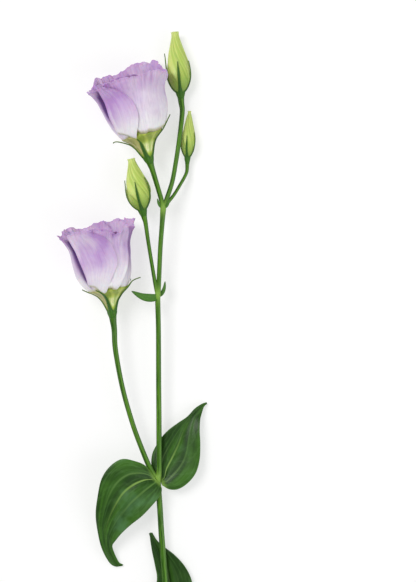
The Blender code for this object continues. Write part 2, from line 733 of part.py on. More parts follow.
# Sepals as angle, height of the tip and how far the tip bends out
BLOOM_LEFT_SEPALS = [(125.0, 18.0, 0.2), (192.0, 22.0, 0.6), (4.0, 24.0, 4.2), (248.0, 20.0, 0.5),
                     (306.0, 21.0, 1.0)]
BLOOM_UPPER_SEPALS = [(105.0, 17.5, 0.2), (178.0, 19.5, 7.6), (18.0, 24.0, 3.6), (240.0, 19.0, 0.6),
                      (308.0, 20.0, 0.8)]
BUD_LOW_SEPALS = [(96.0, 22.0, 0.1), (166.0, 25.0, 1.0), (30.0, 24.0, 0.2), (238.0, 22.0, 0.1), (310.0, 22.0, 0.1)]
BUD_TALL_SEPALS = [(90.0, 23.0, 0.1), (165.0, 31.0, 3.0), (14.0, 24.0, 0.2), (236.0, 23.0, 0.1), (306.0, 24.0, 0.1)]
BUD_SMALL_SEPALS = [(100.0, 17.0, 0.1), (164.0, 20.0, 0.6), (28.0, 20.0, 0.2), (236.0, 16.0, 0.1), (304.0, 16.0, 0.1)]


def resting_seat(x, y, tilt_left, rise, thin_sheets):
    """A seat at the height where the lowest of its petals just touches the surface."""
    trial = Seat(x, y, 0.0, tilt_left, rise)
    return Seat(x, y, -lowest(thin_sheets(trial), PETAL_THICK), tilt_left, rise)


def main():
    """Builds every piece."""
    for leftover in list(bpy.data.objects):
        bpy.data.objects.remove(leftover)

    seats = {
        "bloom_left": resting_seat(
            -44.3, 275.6, 9.6, 8.0, lambda seat: outer_sheets(seat, BLOOM_LEFT_PROFILE, BLOOM_LEFT_OUTER)
        ),
        "bloom_upper": resting_seat(
            -15.4, 390.8, 16.1, 8.0, lambda seat: outer_sheets(seat, BLOOM_UPPER_PROFILE, BLOOM_UPPER_OUTER)
        ),
        "bud_low": Seat(-20.4, 351.8, 19.4, 12.4, 3.0),
        "bud_tall": Seat(7.7, 441.2, 9.38, 5.2, 0.0),
        "bud_small": Seat(11.4, 392.3, 5.94, -5.5, 0.0),
    }

    build_stem(seats)
    build_leaf("leaf_left", LEAF_LEFT, 0.06)
    build_leaf("leaf_right", LEAF_RIGHT, 0.05)
    build_leaf("leaf_low_back", LEAF_LOW_BACK, 0.04)
    build_leaf("leaf_low_side", LEAF_LOW_SIDE, 0.06)

    blooms = (
        ("bloom_left", BLOOM_LEFT_PROFILE, BLOOM_LEFT_OUTER, BLOOM_LEFT_SEPALS, 75.0, 62.0),
        ("bloom_upper", BLOOM_UPPER_PROFILE, BLOOM_UPPER_OUTER, BLOOM_UPPER_SEPALS, 95.0, 64.0),
    )
    for name, profile, petals, sepals, turn, rim in blooms:
        build_corolla(name + "_corolla", seats[name], profile, petals, turn, rim)
        build_calyx(name + "_calyx", seats[name], profile, sepals, 3.9, 2.8)
        build_pistil(name + "_pistil", seats[name])

    buds = (
        ("bud_low", BUD_LOW_PROFILE, BUD_LOW_SEPALS, 3.2, 2.6, 0.36),
        ("bud_tall", BUD_TALL_PROFILE, BUD_TALL_SEPALS, 3.3, 2.8, 0.36),
        ("bud_small", BUD_SMALL_PROFILE, BUD_SMALL_SEPALS, 2.3, 2.0, 0.3),
    )
    for name, profile, sepals, foot_radius, width, turns in buds:
        bud = build_bud(name + "_corolla", seats[name], profile, turns)
        face_outward(bud)
        build_calyx(name + "_calyx", seats[name], profile, sepals, foot_radius, width)


main()
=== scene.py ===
"""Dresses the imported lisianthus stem: petals, buds, leaves, stems, their finishes and a soft studio.

Lengths in the tables are in millimetres and angles in degrees. The stem runs along +Y and lies on z = 0,
and the camera looks straight down on it.
"""

import math

import bpy
import numpy as np
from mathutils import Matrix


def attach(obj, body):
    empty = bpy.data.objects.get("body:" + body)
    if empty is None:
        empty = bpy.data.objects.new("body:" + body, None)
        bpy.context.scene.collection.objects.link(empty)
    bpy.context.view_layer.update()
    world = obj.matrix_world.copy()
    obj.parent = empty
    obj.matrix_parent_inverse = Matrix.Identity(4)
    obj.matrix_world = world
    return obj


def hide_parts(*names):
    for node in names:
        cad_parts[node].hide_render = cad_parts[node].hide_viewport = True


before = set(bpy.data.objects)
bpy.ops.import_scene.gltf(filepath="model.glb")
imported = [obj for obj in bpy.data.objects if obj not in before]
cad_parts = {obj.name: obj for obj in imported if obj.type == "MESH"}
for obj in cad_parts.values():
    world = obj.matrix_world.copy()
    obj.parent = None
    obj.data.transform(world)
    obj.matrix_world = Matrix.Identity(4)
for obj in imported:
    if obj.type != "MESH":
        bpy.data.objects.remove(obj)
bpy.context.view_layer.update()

bl_info = {
    "name": "Lisianthus stem",
    "version": (1, 0, 0),
    "blender": (4, 5, 0),
    "location": "View3D > Sidebar > Lisianthus",
    "description": "Builds a cut lisianthus stem with blooms, buds and leaves round its packed solids",
    "category": "Add Mesh",
}

METRES_PER_MM = 0.001
BODY = "root"

# Heights over the surface: the lowest that any point lies, where a lying petal ends up, how softly it gets
# there and below what height it is eased up
FLOOR_CLEARANCE = 0.06
LYING_HEIGHT = 0.25
LYING_SOFTNESS = 0.9
EASED_BELOW = 6.0

# How finely the pieces are built: rows and columns of sheets, and points round rings
OUTER_GRID = (44, 140)
TUBE_ROWS = 42
TUBE_SIDES = 90
BUD_SIDES = 110
CUP_SIDES = 60
STEM_SIDES = 28
STALK_SIDES = 24
PISTIL_SIDES = 24
STAMEN_SIDES = 8
BALL_SIDES = 14
SEPAL_ROWS = 52
SEPAL_COLUMNS = 17
LEAF_COLUMNS = 16
BRACT_COLUMNS = 13

# How fast the streaks change along stems and tubes, against once round them
STEM_GRAIN = 0.05
TUBE_GRAIN = 0.1

# Waves at the edges of outer petals, inner petals and bud tips: how many go round and how strong each is
COARSE_WAVES = ((9, 0.70), (15, 0.45), (27, 0.42), (43, 0.34), (67, 0.24), (101, 0.14))
FINE_WAVES = ((7, 0.8), (13, 0.5), (23, 0.36), (37, 0.20))
BUD_WAVES = ((5, 0.6), (11, 0.5), (19, 0.3))

# Petals: the gap where one lies over its neighbour, the turn outward at the rims, and the feet. A foot with
# no line of its own is at the two FOOT heights. Sides that lie under are tucked in there, others bulge, and
# all of them end round.
PETAL_LAP = 0.8
OUTER_FLARE = 0.9
INNER_FLARE = 1.1
FOOT_LEVEL = 18.0
FOOT_MIDDLE = 16.6
FOOT_RISE = 3.0
FOOT_TUCK = 0.9
FOOT_BULGE = 0.4
FOOT_ROUNDING = 0.55
# Painted values of the petals: lilac tone, painted shade in dark violet between petals and low inside the
# bloom, the green stain at the foot, and the darker rim
PETAL_PAINT = ("lilac", "violet_shade", "green", "rim")

# Corolla tube: heights of its foot and its top, how far it lies inside the bloom's profile and how much
# further at the top, and heights and radii of its inside
TUBE_FOOT = 1.0
TUBE_TOP = 21.5
TUBE_INSET = 0.15
TUBE_TOP_INSET = 2.6
TUBE_INSIDE = ((15.5, 8.6), (9.0, 3.4), (4.3, 1.9))

# Sepals in mm: thickness at the margins, how much more the green part has, and how much more the keel has
SEPAL_THIN = 0.16
SEPAL_THICK = 0.25
SEPAL_KEEL = 0.90

# Buds: how many petals are wound round each other, and depth of the folds as a share of the radius
BUD_PETALS = 5
BUD_FOLD = 0.085

# Leaves: depth of the grooves over the midrib and the side veins, as shares of the half width
MIDRIB_GROOVE = 0.035
SIDE_VEIN_GROOVE = 0.018

# The leaves were laid out on a grid of 0.75 mm squares whose corner is up and left of the stem
GRID_STEP = 0.75
GRID_ORIGIN = (170.0, 680.0)

# Main stem: x, y, z and radius from the cut end to the upper fork
MAIN_STEM = [
    (0.2, -5.0, 2.20, 2.40),
    (-0.2, 6.0, 2.20, 2.40),
    (-2.3, 37.5, 4.70, 2.35),
    (-4.2, 73.5, 7.10, 2.30),
    (-6.6, 105.3, 9.10, 2.25),
    (-8.0, 129.0, 10.50, 2.20),
    (-9.3, 145.0, 11.40, 2.35),
    (-9.6, 150.5, 11.70, 2.55),
    (-8.6, 157.0, 12.10, 2.15),
    (-8.5, 189.2, 13.60, 2.05),
    (-8.7, 225.0, 15.10, 2.00),
    (-8.8, 262.0, 16.50, 1.95),
    (-9.3, 284.0, 17.20, 2.05),
    (-9.3, 289.0, 17.35, 2.25),
    (-8.6, 296.0, 17.60, 1.85),
    (-7.3, 324.0, 18.40, 1.80),
    (-5.9, 343.0, 18.90, 1.90),
    (-5.1, 354.0, 19.20, 2.30),
    (-5.0, 358.0, 19.30, 1.60),
]

# Middles of the three forks, and how far the stem's ribs stand out as a share of its radius
FORKS = [(-9.6, 150.5), (-9.3, 289.0), (-5.1, 354.0)]
STEM_RIPPLE = 0.018

# Rings on the cut face: share of its radius and strength of the pith's colour
CUT_RINGS = ((0.35, 1.0), (0.80, 0.8), (0.97, 0.2))

# Side stalks: x, y, z and radius. Each starts inside the stem; its last points are added at its bloom.
STALK_TO_BLOOM_LEFT = [
    (-9.6, 147.5, 11.50, 1.70),
    (-11.6, 151.5, 12.00, 1.85),
    (-15.6, 158.5, 12.80, 1.95),
    (-22.0, 174.2, 14.20, 1.90),
    (-28.5, 192.5, 15.60, 1.85),
    (-35.8, 219.0, 17.40, 1.85),
    (-40.9, 247.0, 19.00, 1.95),
]
STALK_TO_BUD_LOW = [
    (-9.3, 287.0, 17.30, 1.30),
    (-11.0, 296.0, 17.80, 1.45),
    (-14.0, 314.0, 18.40, 1.40),
    (-16.4, 329.0, 18.80, 1.45),
]
STALK_TO_BLOOM_UPPER = [
    (-5.1, 353.0, 19.20, 1.60),
    (-6.6, 360.5, 19.60, 1.80),
    (-8.9, 368.5, 20.00, 1.80),
]
STALK_TO_BUD_TALL = [
    (-5.0, 353.0, 19.20, 1.50),
    (-2.8, 360.0, 18.90, 1.75),
    (1.5, 373.5, 17.60, 1.70),
    (4.5, 390.0, 15.80, 1.70),
    (7.3, 410.0, 13.10, 1.75),
]
STALK_TO_BUD_SMALL = [
    (-5.0, 353.5, 19.10, 1.20),
    (-1.5, 358.5, 17.60, 1.35),
    (3.0, 364.5, 14.60, 1.25),
    (8.2, 373.5, 10.60, 1.25),
    (11.3, 379.4, 8.20, 1.25),
]
BRACTS = [
    ([(-8.6, 287.6, 17.6), (-13.6, 286.6, 20.2), (-20.6, 287.6, 21.6), (-28.8, 291.6, 20.6)], 5.6),
    ([(-9.4, 287.8, 17.0), (-6.6, 289.6, 15.6), (-4.6, 293.6, 14.8), (-3.8, 299.0, 14.8)], 2.6),
    ([(-5.4, 354.2, 19.4), (-7.2, 355.4, 20.2), (-8.6, 357.8, 20.8), (-9.4, 361.0, 21.0)], 1.7),
    ([(-4.8, 354.0, 19.0), (-2.6, 355.4, 20.6), (-1.2, 358.0, 21.8), (-0.6, 361.4, 22.4)], 1.7),
]

# How far the foot of each bloom sways to the right: height and distance
SWAY_LEFT = [
    (-16, 0), (-4, 0.7), (0, 1.1), (5, 1.3), (9, 1.5), (12, 1.9), (16, 2.1), (19, 1.6), (24, 0.6), (30, 0),
]
SWAY_UPPER = [(-12, 0), (0, -0.4), (3, -0.5), (13, -0.5), (20, -0.2), (26, 0)]

# Outer profile of the corolla tube and its petals: height up the bloom and radius
BLOOM_LEFT_PROFILE = [
    (1.3, 3.0), (5.0, 4.4), (9.0, 6.1), (12.0, 8.2), (14.0, 10.0), (16.0, 12.6), (18.0, 15.6), (21.0, 18.6),
    (24.5, 20.6), (31.0, 22.7), (41.0, 23.7), (50.0, 24.3), (57.0, 26.8), (62.5, 29.3), (68.0, 30.4),
]
BLOOM_UPPER_PROFILE = [
    (1.3, 3.3), (5.0, 5.0), (9.0, 6.8), (12.0, 8.7), (14.0, 10.4), (16.2, 13.2), (18.5, 16.2), (21.5, 18.8),
    (25.0, 21.0), (29.5, 23.0), (37.0, 24.8), (44.0, 25.2), (49.5, 26.2), (56.2, 29.8), (60.0, 31.6),
    (68.0, 32.8),
]
SECOND_PROFILE = [
    (6.0, 2.9), (9.0, 3.8), (11.0, 4.8), (15.0, 7.3), (20.0, 11.3), (28.0, 15.6), (38.0, 17.6),
    (48.0, 18.3), (54.0, 19.6), (62.0, 22.6),
]
THIRD_PROFILE = [
    (5.0, 2.5), (8.0, 2.8), (10.0, 3.4), (15.0, 5.1), (20.0, 7.4), (28.0, 10.0), (38.0, 11.3), (48.0, 11.9),
    (56.0, 13.6),
]

# Outer petals. low and high are the two side edges as height and angle, and angle 90 faces up. foot and rim
# are the edges at the bottom and at the top as angle and height. order is 1 where a side lies over its
# neighbour and -1 where it lies under, and lift is how far each side stands off. lilac holds the height
# where the colour starts, the height where it is full, and its least and greatest strength. stain is the
# strength and the reach of the green at the foot. bumps, patches and gaps are soft spots: angle, its width,
# height, its width, and the size in mm or the strength of the spot. The bumps move the surface. The patches
# raise or lower the lilac, partly as the petal's own tone and partly as painted highlights on lit folds and
# edges. The gaps paint shade in dark violet where one petal passes under another or turns away from the
# light.
BLOOM_LEFT_OUTER = [
    dict(
        low=[
            (15, 97), (18.7, 91.7), (22.5, 82.6), (26, 76), (29.4, 70), (32.8, 65), (36.8, 59), (41, 57),
            (45.7, 59), (49.7, 61.4), (52.9, 64), (56.5, 70.3), (59.8, 77.6), (62.5, 85.6), (64.5, 92),
        ],
        high=[
            (15, 137), (19.3, 134), (22.2, 130.5), (24, 127), (28.8, 123.3), (34.2, 122.6),
            (39.2, 123.6), (43.8, 126.2), (47.6, 128.3), (52.7, 130.1), (59.3, 131.8), (66, 131),
        ],
        foot=[
            (88, 18.6), (92, 17.6), (98, 16.4), (103, 16.2), (109, 18.1), (114, 20.3), (121, 22.6),
            (134, 24),
        ],
        rim=[(92, 65.4), (100, 66.6), (108, 66.3), (114, 66.3), (121, 65.5), (126, 64.8), (132, 63.4)],
        order=(1, 1), lift=(0.5, 1.4), lilac=(18, 46, 0.08, 0.74),
        bumps=[(112, 10, 42, 14, 0.5), (93, 12, 30, 12, 0.4), (80, 7, 55, 8, -0.5)],
        # The pale spot at angle 126 is a painted highlight on the front petal's rolled-back edge
        tints_and_highlights=[
            (76, 11, 56, 8, 0.36), (88, 11, 62, 3.5, 0.30), (126, 6, 55, 12, -0.34),
            (113, 8, 47, 16, -0.06), (103, 12, 60, 5, -0.20), (84, 12, 44, 9, 0.10),
            (122, 4, 34, 14, 0.16),
        ],
    ),
    dict(
        low=[
            (15, 70), (19, 61.6), (22.7, 53.6), (25.9, 46.3), (29.3, 41.5), (32.7, 37), (36.9, 33),
            (41, 30.3), (45.4, 29.5), (51.2, 28.8), (56.7, 31), (62, 34), (66, 37),
        ],
        high=[(10, 108), (30, 108), (66, 112)],
        foot=[
            (48, 19.6), (51, 19.0), (58, 17.8), (65, 17.7), (71, 18.2), (77, 19.0), (84, 20.5),
            (110, 21),
        ],
        rim=[
            (32, 61.6), (35, 63.5), (38, 65), (42, 66), (47, 63.2), (52, 60.6), (57, 59.6), (61, 60.4),
            (65, 62.8), (69, 64.5), (73, 65.3), (80, 66.2), (87, 66.6), (94, 66.2), (112, 64),
        ],
        order=(1, -1), lift=(0.7, 0.0), lilac=(23, 52, 0.0, 0.66),
        bumps=[(58, 6, 60, 7, -1.8), (42, 6, 61, 7, 0.7), (40, 8, 44, 18, 0.5)],
        tints_and_highlights=[
            (57, 6, 60, 5, 0.45), (72, 10, 60, 6, 0.15), (46, 7, 48, 7, -0.22), (34, 5, 36, 14, 0.10),
            (52, 6, 45, 12, 0.18),
        ],
    ),
    dict(
        low=[(10, 315), (40, 308), (52, 300), (59.8, 293), (63.1, 286), (67, 279)],
        high=[(10, 420), (30, 412), (40, 402), (66, 400)],
        rim=[
            (279, 66.8), (283, 66), (289, 65), (294, 66.2), (303, 67), (308, 66.6), (314, 65),
            (319, 67.3), (327, 66.2), (338, 66), (346, 65.4), (352, 61.5), (358, 60.4), (365, 61.2),
            (377, 62.3), (389, 63), (400, 62),
        ],
        order=(-1, -1), lilac=(24, 50, 0.15, 0.80),
        bumps=[(338, 9, 66, 6, 0.9), (372, 14, 60, 8, 1.4), (368, 16, 47, 8, 1.1)],
        # Painted shade in dark violet on the side of this petal that turns away at the right
        tints_and_highlights=[(372, 24, 50, 20, 0.25)], shaded_gaps=[(370, 26, 54, 14, 0.50), (372, 24, 36, 12, 0.30)],
    ),
    dict(
        low=[(10, 218), (40, 208), (66, 202)],
        high=[(10, 300), (40, 306), (66, 310)],
        rim=[
            (200, 61), (204, 63), (210, 65.4), (221, 65.7), (231, 66.3), (238, 64), (250, 63.5),
            (258, 64.4), (266, 65.6), (273, 65.9), (279, 66.6), (286, 64.6), (310, 62),
        ],
        order=(1, 1), lift=(0.5, 0.5), lilac=(20, 50, 0.05, 0.80),
    ),
    dict(
        low=[(10, 110), (26, 108), (66, 112)],
        high=[(10, 224), (40, 232), (66, 234)],
        stain=(1.0, 6.0),
        rim=[
            (112, 60), (130, 61.6), (150, 61.4), (160, 62.4), (169, 60.6), (176, 63), (183, 63.6),
            (189, 61.2), (196, 62.4), (204, 63), (216, 64), (234, 62),
        ],
        order=(-1, -1), lilac=(18, 42, 0.15, 0.85),
        bumps=[(146, 10, 58, 7, -1.4), (138, 9, 50, 8, -3.0), (132, 8, 42, 8, -2.8), (127, 6, 35, 6, -1.4)],
        tints_and_highlights=[(165, 10, 40, 16, -0.20), (155, 12, 26, 8, -0.30)],
        # Painted shade in dark violet, over the petal's own violet, in the valley where it passes under the
        # front petal's rolled edge
        shaded_gaps=[
            (147, 10, 58, 4, 0.7), (144, 11, 53, 5, 1.1), (139, 11, 47, 5, 1.4), (134, 10, 41, 5, 1.5),
            (131, 8, 35, 5, 1.2), (128, 5, 30, 4, 1.0), (128, 4, 25, 4, 0.6),
        ],
    ),
]
BLOOM_UPPER_OUTER = [
    dict(
        low=[
            (14, 111), (17.5, 105.5), (21.8, 98.6), (26.5, 92), (31.2, 87.5), (36.3, 86), (41, 87.2),
            (45, 89.6), (48.5, 94), (51.9, 99.4), (54.6, 105), (56.9, 112), (58.4, 119),
        ],
        high=[
            (10, 150), (18, 148), (23.7, 145.8), (26.6, 143.6), (30.7, 142.3), (34.6, 140.6), (38.4, 139.2),
            (42.2, 138.7), (46.8, 138), (51.5, 136.4), (55.3, 133.6), (60, 131),
        ],
        foot=[
            (100, 17.2), (105, 16.6), (108, 16.5), (113, 17.4), (120, 18.8), (129, 21), (142, 23.2),
            (150, 24),
        ],
        rim=[(116, 58.4), (120, 59.2), (127, 59.6), (132, 58.4)],
        order=(1, 1), lift=(0.6, 1.2), lilac=(20, 44, 0.0, 0.90),
        bumps=[(118, 12, 42, 14, 0.5), (106, 6, 48, 14, -0.4)],
        tints_and_highlights=[
            (100, 6, 53, 8, 0.10), (94, 8, 42, 8, -0.10), (94, 7, 33, 9, -0.12), (135, 3, 35, 14, -0.2),
            (114, 8, 33, 8, -0.12),
        ],
    ),
    dict(
        low=[(10, 8), (30, 0), (66, -6)],
        high=[(10, 124), (30, 124), (50, 124), (68, 130)], stain=(0.9, 4.6),
        foot=[
            (8, 20), (25, 19.4), (41, 18.8), (56, 18.6), (65, 19.2), (71, 19.7), (76, 19.2), (81, 18.9),
            (88, 19.4), (92, 19.8), (96, 21.5), (102, 22.4), (124, 23),
        ],
        rim=[
            (-6, 53), (0, 55), (13, 57.6), (26, 59), (37, 60.2), (45, 61.1), (52, 61.5), (57, 61.3),
            (64, 60.4), (70, 60.1), (77, 60.6), (84, 61), (90, 61.7), (97, 62), (104, 61.6), (111, 61.2),
            (117, 61.6), (124, 61), (130, 60),
        ],
        order=(1, -1), lift=(0.5, 0.0), lilac=(22, 58, 0.02, 0.56),
        bumps=[(62, 12, 46, 16, 0.5), (30, 10, 54, 8, -0.6), (78, 6, 56, 8, -0.4), (118, 6, 59, 4, -0.8)],
        tints_and_highlights=[
            (104, 12, 56, 6, 0.34), (66, 8, 55, 6, 0.16), (52, 5, 57, 4, 0.2), (24, 10, 54, 9, -0.12),
            (8, 10, 42, 20, 0.22), (120, 5, 60, 3, 0.5), (92, 5, 46, 8, 0.12),
        ],
    ),
    dict(
        low=[(10, 304), (40, 300), (56, 298), (66, 294)],
        high=[(10, 380), (40, 386), (66, 388)],
        rim=[
            (292, 67), (300, 68.5), (308, 67.4), (315, 69), (321, 68.4), (325, 66), (335, 63), (350, 60),
            (388, 57),
        ],
        order=(-1, -1), lilac=(22, 54, 0.05, 0.80), tints_and_highlights=[(318, 5, 66, 4, -0.6)],
    ),
    dict(
        low=[(10, 226), (40, 216), (66, 208)],
        high=[(10, 306), (40, 314), (66, 318)],
        rim=[
            (208, 60), (215, 62.7), (218, 65.4), (222, 67), (226, 68.4), (231, 68.9), (235, 67.4),
            (242, 68), (249, 68.3), (253, 66.8), (257, 66.9), (262, 67.7), (267, 68.2), (271, 68.7),
            (274, 69.8), (279, 70.4), (283, 71.3), (288, 71.2), (294, 70.7), (299, 71), (303, 69.4),
            (307, 68.2), (312, 69.7), (316, 69.6), (318, 68),
        ],
        order=(1, 1), lift=(0.5, 0.5), lilac=(20, 50, 0.05, 0.80),
    ),
    dict(
        low=[(10, 132), (26, 126), (66, 120)],
        high=[(10, 232), (40, 240), (66, 242)],
        rim=[
            (120, 57), (140, 58.8), (152, 58.4), (163, 59.6), (170, 58), (177, 59.8), (183, 60),
            (190, 58.6), (198, 60.6), (206, 60.8), (215, 62.5), (230, 63.5), (242, 63),
        ],
        order=(-1, -1), lilac=(18, 40, 0.25, 0.85),
        bumps=[(146, 8, 52, 8, -1.8), (148, 9, 45, 8, -2.6), (147, 7, 38, 7, -1.4), (174, 13, 47, 7, 1.5)],
        # These two pale spots are painted highlights on this petal's outer face beside the shaded valley
        tints_and_highlights=[(172, 8, 36, 14, -0.18), (162, 10, 56, 4, -0.2)],
        # Painted shade in dark violet, over the petal's own violet, in the valley where it passes under the
        # front petal's rolled edge
        shaded_gaps=[
            (147, 6, 55, 3, 1.0), (151, 8, 51, 4, 1.5), (152, 9, 46, 4, 1.8), (151, 9, 41, 4, 1.6),
            (148, 7, 36, 4, 1.2), (145, 5, 31, 4, 0.8),
        ],
    ),
]
# Inner whorls: the step from petal to petal, half a petal's width, the height of its foot, how far its two
# sides stand apart, how far its corners and each rim drop, the whorl's turn, how much lower it is than the
# rim of the bloom, its ruffles against the outer ones, and rows and columns
INNER_WHORLS = (
    dict(
        profile=SECOND_PROFILE, step=72.0, half=54.0, foot=8.0, spread=1.5, corner=0.20,
        drops=(0.0, 3.5, 1.0, 4.5, 2.0), turn=0.0, lower=3.0, ruffle=0.8, grid=(30, 76),
    ),
    dict(
        profile=THIRD_PROFILE, step=90.0, half=66.0, foot=7.0, spread=1.3, corner=0.24,
        drops=(0.0, 4.0, 1.5, 5.0), turn=20.0, lower=10.0, ruffle=0.65, grid=(26, 66),
    ),
)

BUD_LOW_PROFILE = [
    (1.3, 3.1), (3.0, 4.9), (6.0, 7.2), (10.0, 8.9), (15.0, 9.4), (21.0, 8.5), (28.0, 6.2), (35.0, 3.8),
    (38.5, 2.8), (40.0, 2.9),
]
BUD_TALL_PROFILE = [
    (1.3, 3.0), (3.0, 4.8), (6.0, 6.8), (10.0, 8.4), (15.0, 9.1), (22.0, 8.5), (30.0, 6.7), (39.0, 4.2),
    (45.0, 2.9), (46.8, 3.1),
]
BUD_SMALL_PROFILE = [
    (1.3, 1.9), (3.0, 3.1), (6.0, 4.6), (10.0, 5.5), (15.0, 5.6), (21.0, 4.6), (27.0, 3.2), (32.0, 2.0),
    (34.8, 1.2), (36.2, 1.3),
]

# Sepals. Each has an angle and the line of its inner face: height, distance off the bloom or bud, and how
# far it has turned there. All start with the same points. The half width follows the height and is in mm
# for the blooms.
BLOOM_LEFT_SEPALS = [
    (108.5, [(8, 0, 0), (14, 0, 1.5), (18.8, 0.1, 3.0), (20.6, 0.3, 7.5)]),
    (181.0, [(10, 0, 0), (15, 0, 0), (18.6, 0.1, -4), (21.2, 0.4, -12)]),
    (27.0, [
        (8.5, 0, 0), (13.5, 0.1, -2), (17, 0.2, -1), (20, 0.3, -4), (22.0, 0.8, -10), (22.6, 2.4, -18),
        (22.8, 4.2, -22), (23.0, 5.8, -24),
    ]),
    (252.0, [(10, 0, 0), (16, 0.2, 0), (21.0, 0.8, 0)]),
    (324.0, [(10, 0, 0), (16, 0.2, 2), (21.5, 1.0, 6)]),
]
BLOOM_UPPER_SEPALS = [
    (104.5, [(8, 0, 0.5), (13, 0, -1), (15.0, 0.05, 1), (16.6, 0.2, 2)]),
    (174.0, [
        (7.2, 0, 0), (11, 0, 0), (14, 0.2, 0), (16.6, 0.9, 0), (18.4, 2.0, 0), (19.2, 3.8, 0),
        (19.0, 5.6, 0), (18.6, 6.6, 0),
    ]),
    (15.0, [(8, 0, 0), (14, 0, 0), (20, 0.2, -2), (24, 0.7, -5), (27.5, 1.8, -8)]),
    (247.0, [(10, 0, 0), (16, 0.2, 0), (20.5, 0.9, 0)]),
    (319.0, [(10, 0, 0), (16, 0.2, 0), (21.0, 1.0, 3)]),
]
BUD_LOW_SEPALS = [
    (96.0, [(12, 0, 0), (22, 0.1, 0)]),
    (166.0, [(12, 0, 0), (20, 0.2, 0), (25, 1.0, 0)]),
    (30.0, [(12, 0, 0), (24, 0.2, 0)]),
    (238.0, [(12, 0, 0), (22, 0.1, 0)]),
    (310.0, [(12, 0, 0), (22, 0.1, 0)]),
]
BUD_TALL_SEPALS = [
    (90.0, [(12, 0, 0), (23, 0.1, 0)]),
    (165.0, [(12, 0, 0), (20, 0.4, 0), (27, 1.8, 0), (31, 3.0, 0)]),
    (14.0, [(12, 0, 0), (24, 0.2, 0)]),
    (236.0, [(12, 0, 0), (23, 0.1, 0)]),
    (306.0, [(12, 0, 0), (24, 0.1, 0)]),
]
BUD_SMALL_SEPALS = [
    (100.0, [(9, 0, 0), (17, 0.1, 0)]),
    (164.0, [(9, 0, 0), (20, 0.6, 0)]),
    (28.0, [(9, 0, 0), (20, 0.2, 0)]),
    (236.0, [(9, 0, 0), (16, 0.1, 0)]),
    (304.0, [(9, 0, 0), (16, 0.1, 0)]),
]
SEPAL_HALF_WIDTH = [
    (-7, 0.8), (-3, 1.5), (0, 2.2), (1.2, 2.2), (2.5, 1.8), (4, 1.4), (8, 1.12), (15, 0.98), (30, 0.8),
]
SEPAL_START = [(-7, 0, 0), (-3, 0, 0), (0, 0, 0), (2, 0, 0)]

# Ovary and style, and the line of a stamen: height and distance from the axis
OVARY_PROFILE = [
    (4.6, 0.6), (5.0, 1.3), (7.0, 1.7), (10.0, 1.9), (13.0, 1.9), (15.0, 1.6), (17.0, 1.2), (19.5, 0.8),
    (24.0, 0.7), (28.0, 0.75),
]
STAMEN_PROFILE = ((8.5, 1.2), (12.0, 2.1), (16.0, 3.4), (21.0, 4.4))
STAMEN_RADIUS = 0.36
STAMEN_TURNS = (30.0, 102.0, 174.0, 246.0, 318.0)

# Rounded bodies: distance from the axis, height, half across and half along. The stigma has two of them.
STIGMA_LOBE = ((0.9, 0.3), 28.8, 1.5, 1.2)
ANTHER = (4.5, 22.0, 0.85, 2.0)

# Leaves, station by station from the foot: left edge, midrib and right edge as grid corners and height
LEAF_LEFT = [
    ((154.8, 479.6, 14.9), (156.2, 481.2, 14.7), (158.2, 483.2, 14.7)),
    ((146.0, 466.5, 18.6), (150.6, 480.3, 16.4), (161.6, 489.9, 15.6)),
    ((134.5, 460.4, 22.5), (143.6, 480.4, 19.4), (159.4, 497.0, 17.2)),
    ((121.9, 458.4, 24.6), (133.8, 484.3, 21.4), (150.0, 508.0, 18.6)),
    ((110.3, 465.6, 25.2), (123.5, 492.3, 22.0), (141.0, 517.0, 19.0)),
    ((102.0, 478.0, 24.4), (115.8, 504.2, 21.2), (131.5, 524.6, 18.2)),
    ((98.0, 495.0, 21.6), (109.3, 517.8, 18.8), (122.0, 533.6, 16.2)),
    ((95.4, 515.3, 17.6), (105.5, 531.2, 15.2), (114.8, 542.5, 13.0)),
    ((97.2, 535.8, 12.4), (104.9, 543.2, 10.8), (111.7, 547.5, 9.8)),
    ((100.8, 551.9, 8.6), (106.1, 553.4, 7.2), (111.9, 552.1, 7.8)),
    ((107.5, 566.0, 4.8), (111.1, 563.8, 3.8), (114.3, 559.6, 5.2)),
    ((113.4, 571.0, 2.8), (115.4, 569.5, 2.3), (117.8, 566.8, 3.2)),
    ((120.9, 570.9, 1.6), (121.3, 570.1, 1.5), (121.7, 569.3, 1.7)),
]
LEAF_RIGHT = [
    ((157.6, 480.9, 8.4), (160.2, 483.2, 9.3), (161.4, 487.0, 10.4)),
    ((154.6, 477.2, 7.6), (163.9, 479.3, 8.2), (169.3, 491.2, 10.8)),
    ((150.7, 467.2, 6.7), (165.9, 471.2, 7.3), (178.7, 490.7, 11.0)),
    ((151.5, 456.1, 6.5), (170.1, 462.8, 6.9), (188.8, 483.6, 11.6)),
    ((155.7, 447.2, 6.9), (173.8, 455.3, 6.9), (196.2, 473.4, 12.0)),
    ((161.6, 438.2, 7.6), (177.6, 447.1, 7.2), (199.7, 460.3, 11.8)),
    ((168.8, 430.8, 8.2), (181.1, 437.4, 7.2), (200.3, 445.3, 11.2)),
    ((178.1, 424.1, 8.2), (185.1, 427.9, 6.8), (199.7, 432.0, 10.0)),
    ((187.1, 418.0, 7.2), (190.4, 418.9, 6.0), (200.1, 421.9, 8.2)),
    ((194.2, 410.5, 5.4), (196.2, 412.6, 4.8), (201.7, 415.2, 6.2)),
    ((200.9, 406.0, 3.6), (201.9, 407.7, 3.4), (203.9, 408.8, 4.0)),
    ((206.4, 404.1, 2.0), (206.8, 404.9, 2.0), (207.0, 405.8, 2.1)),
]
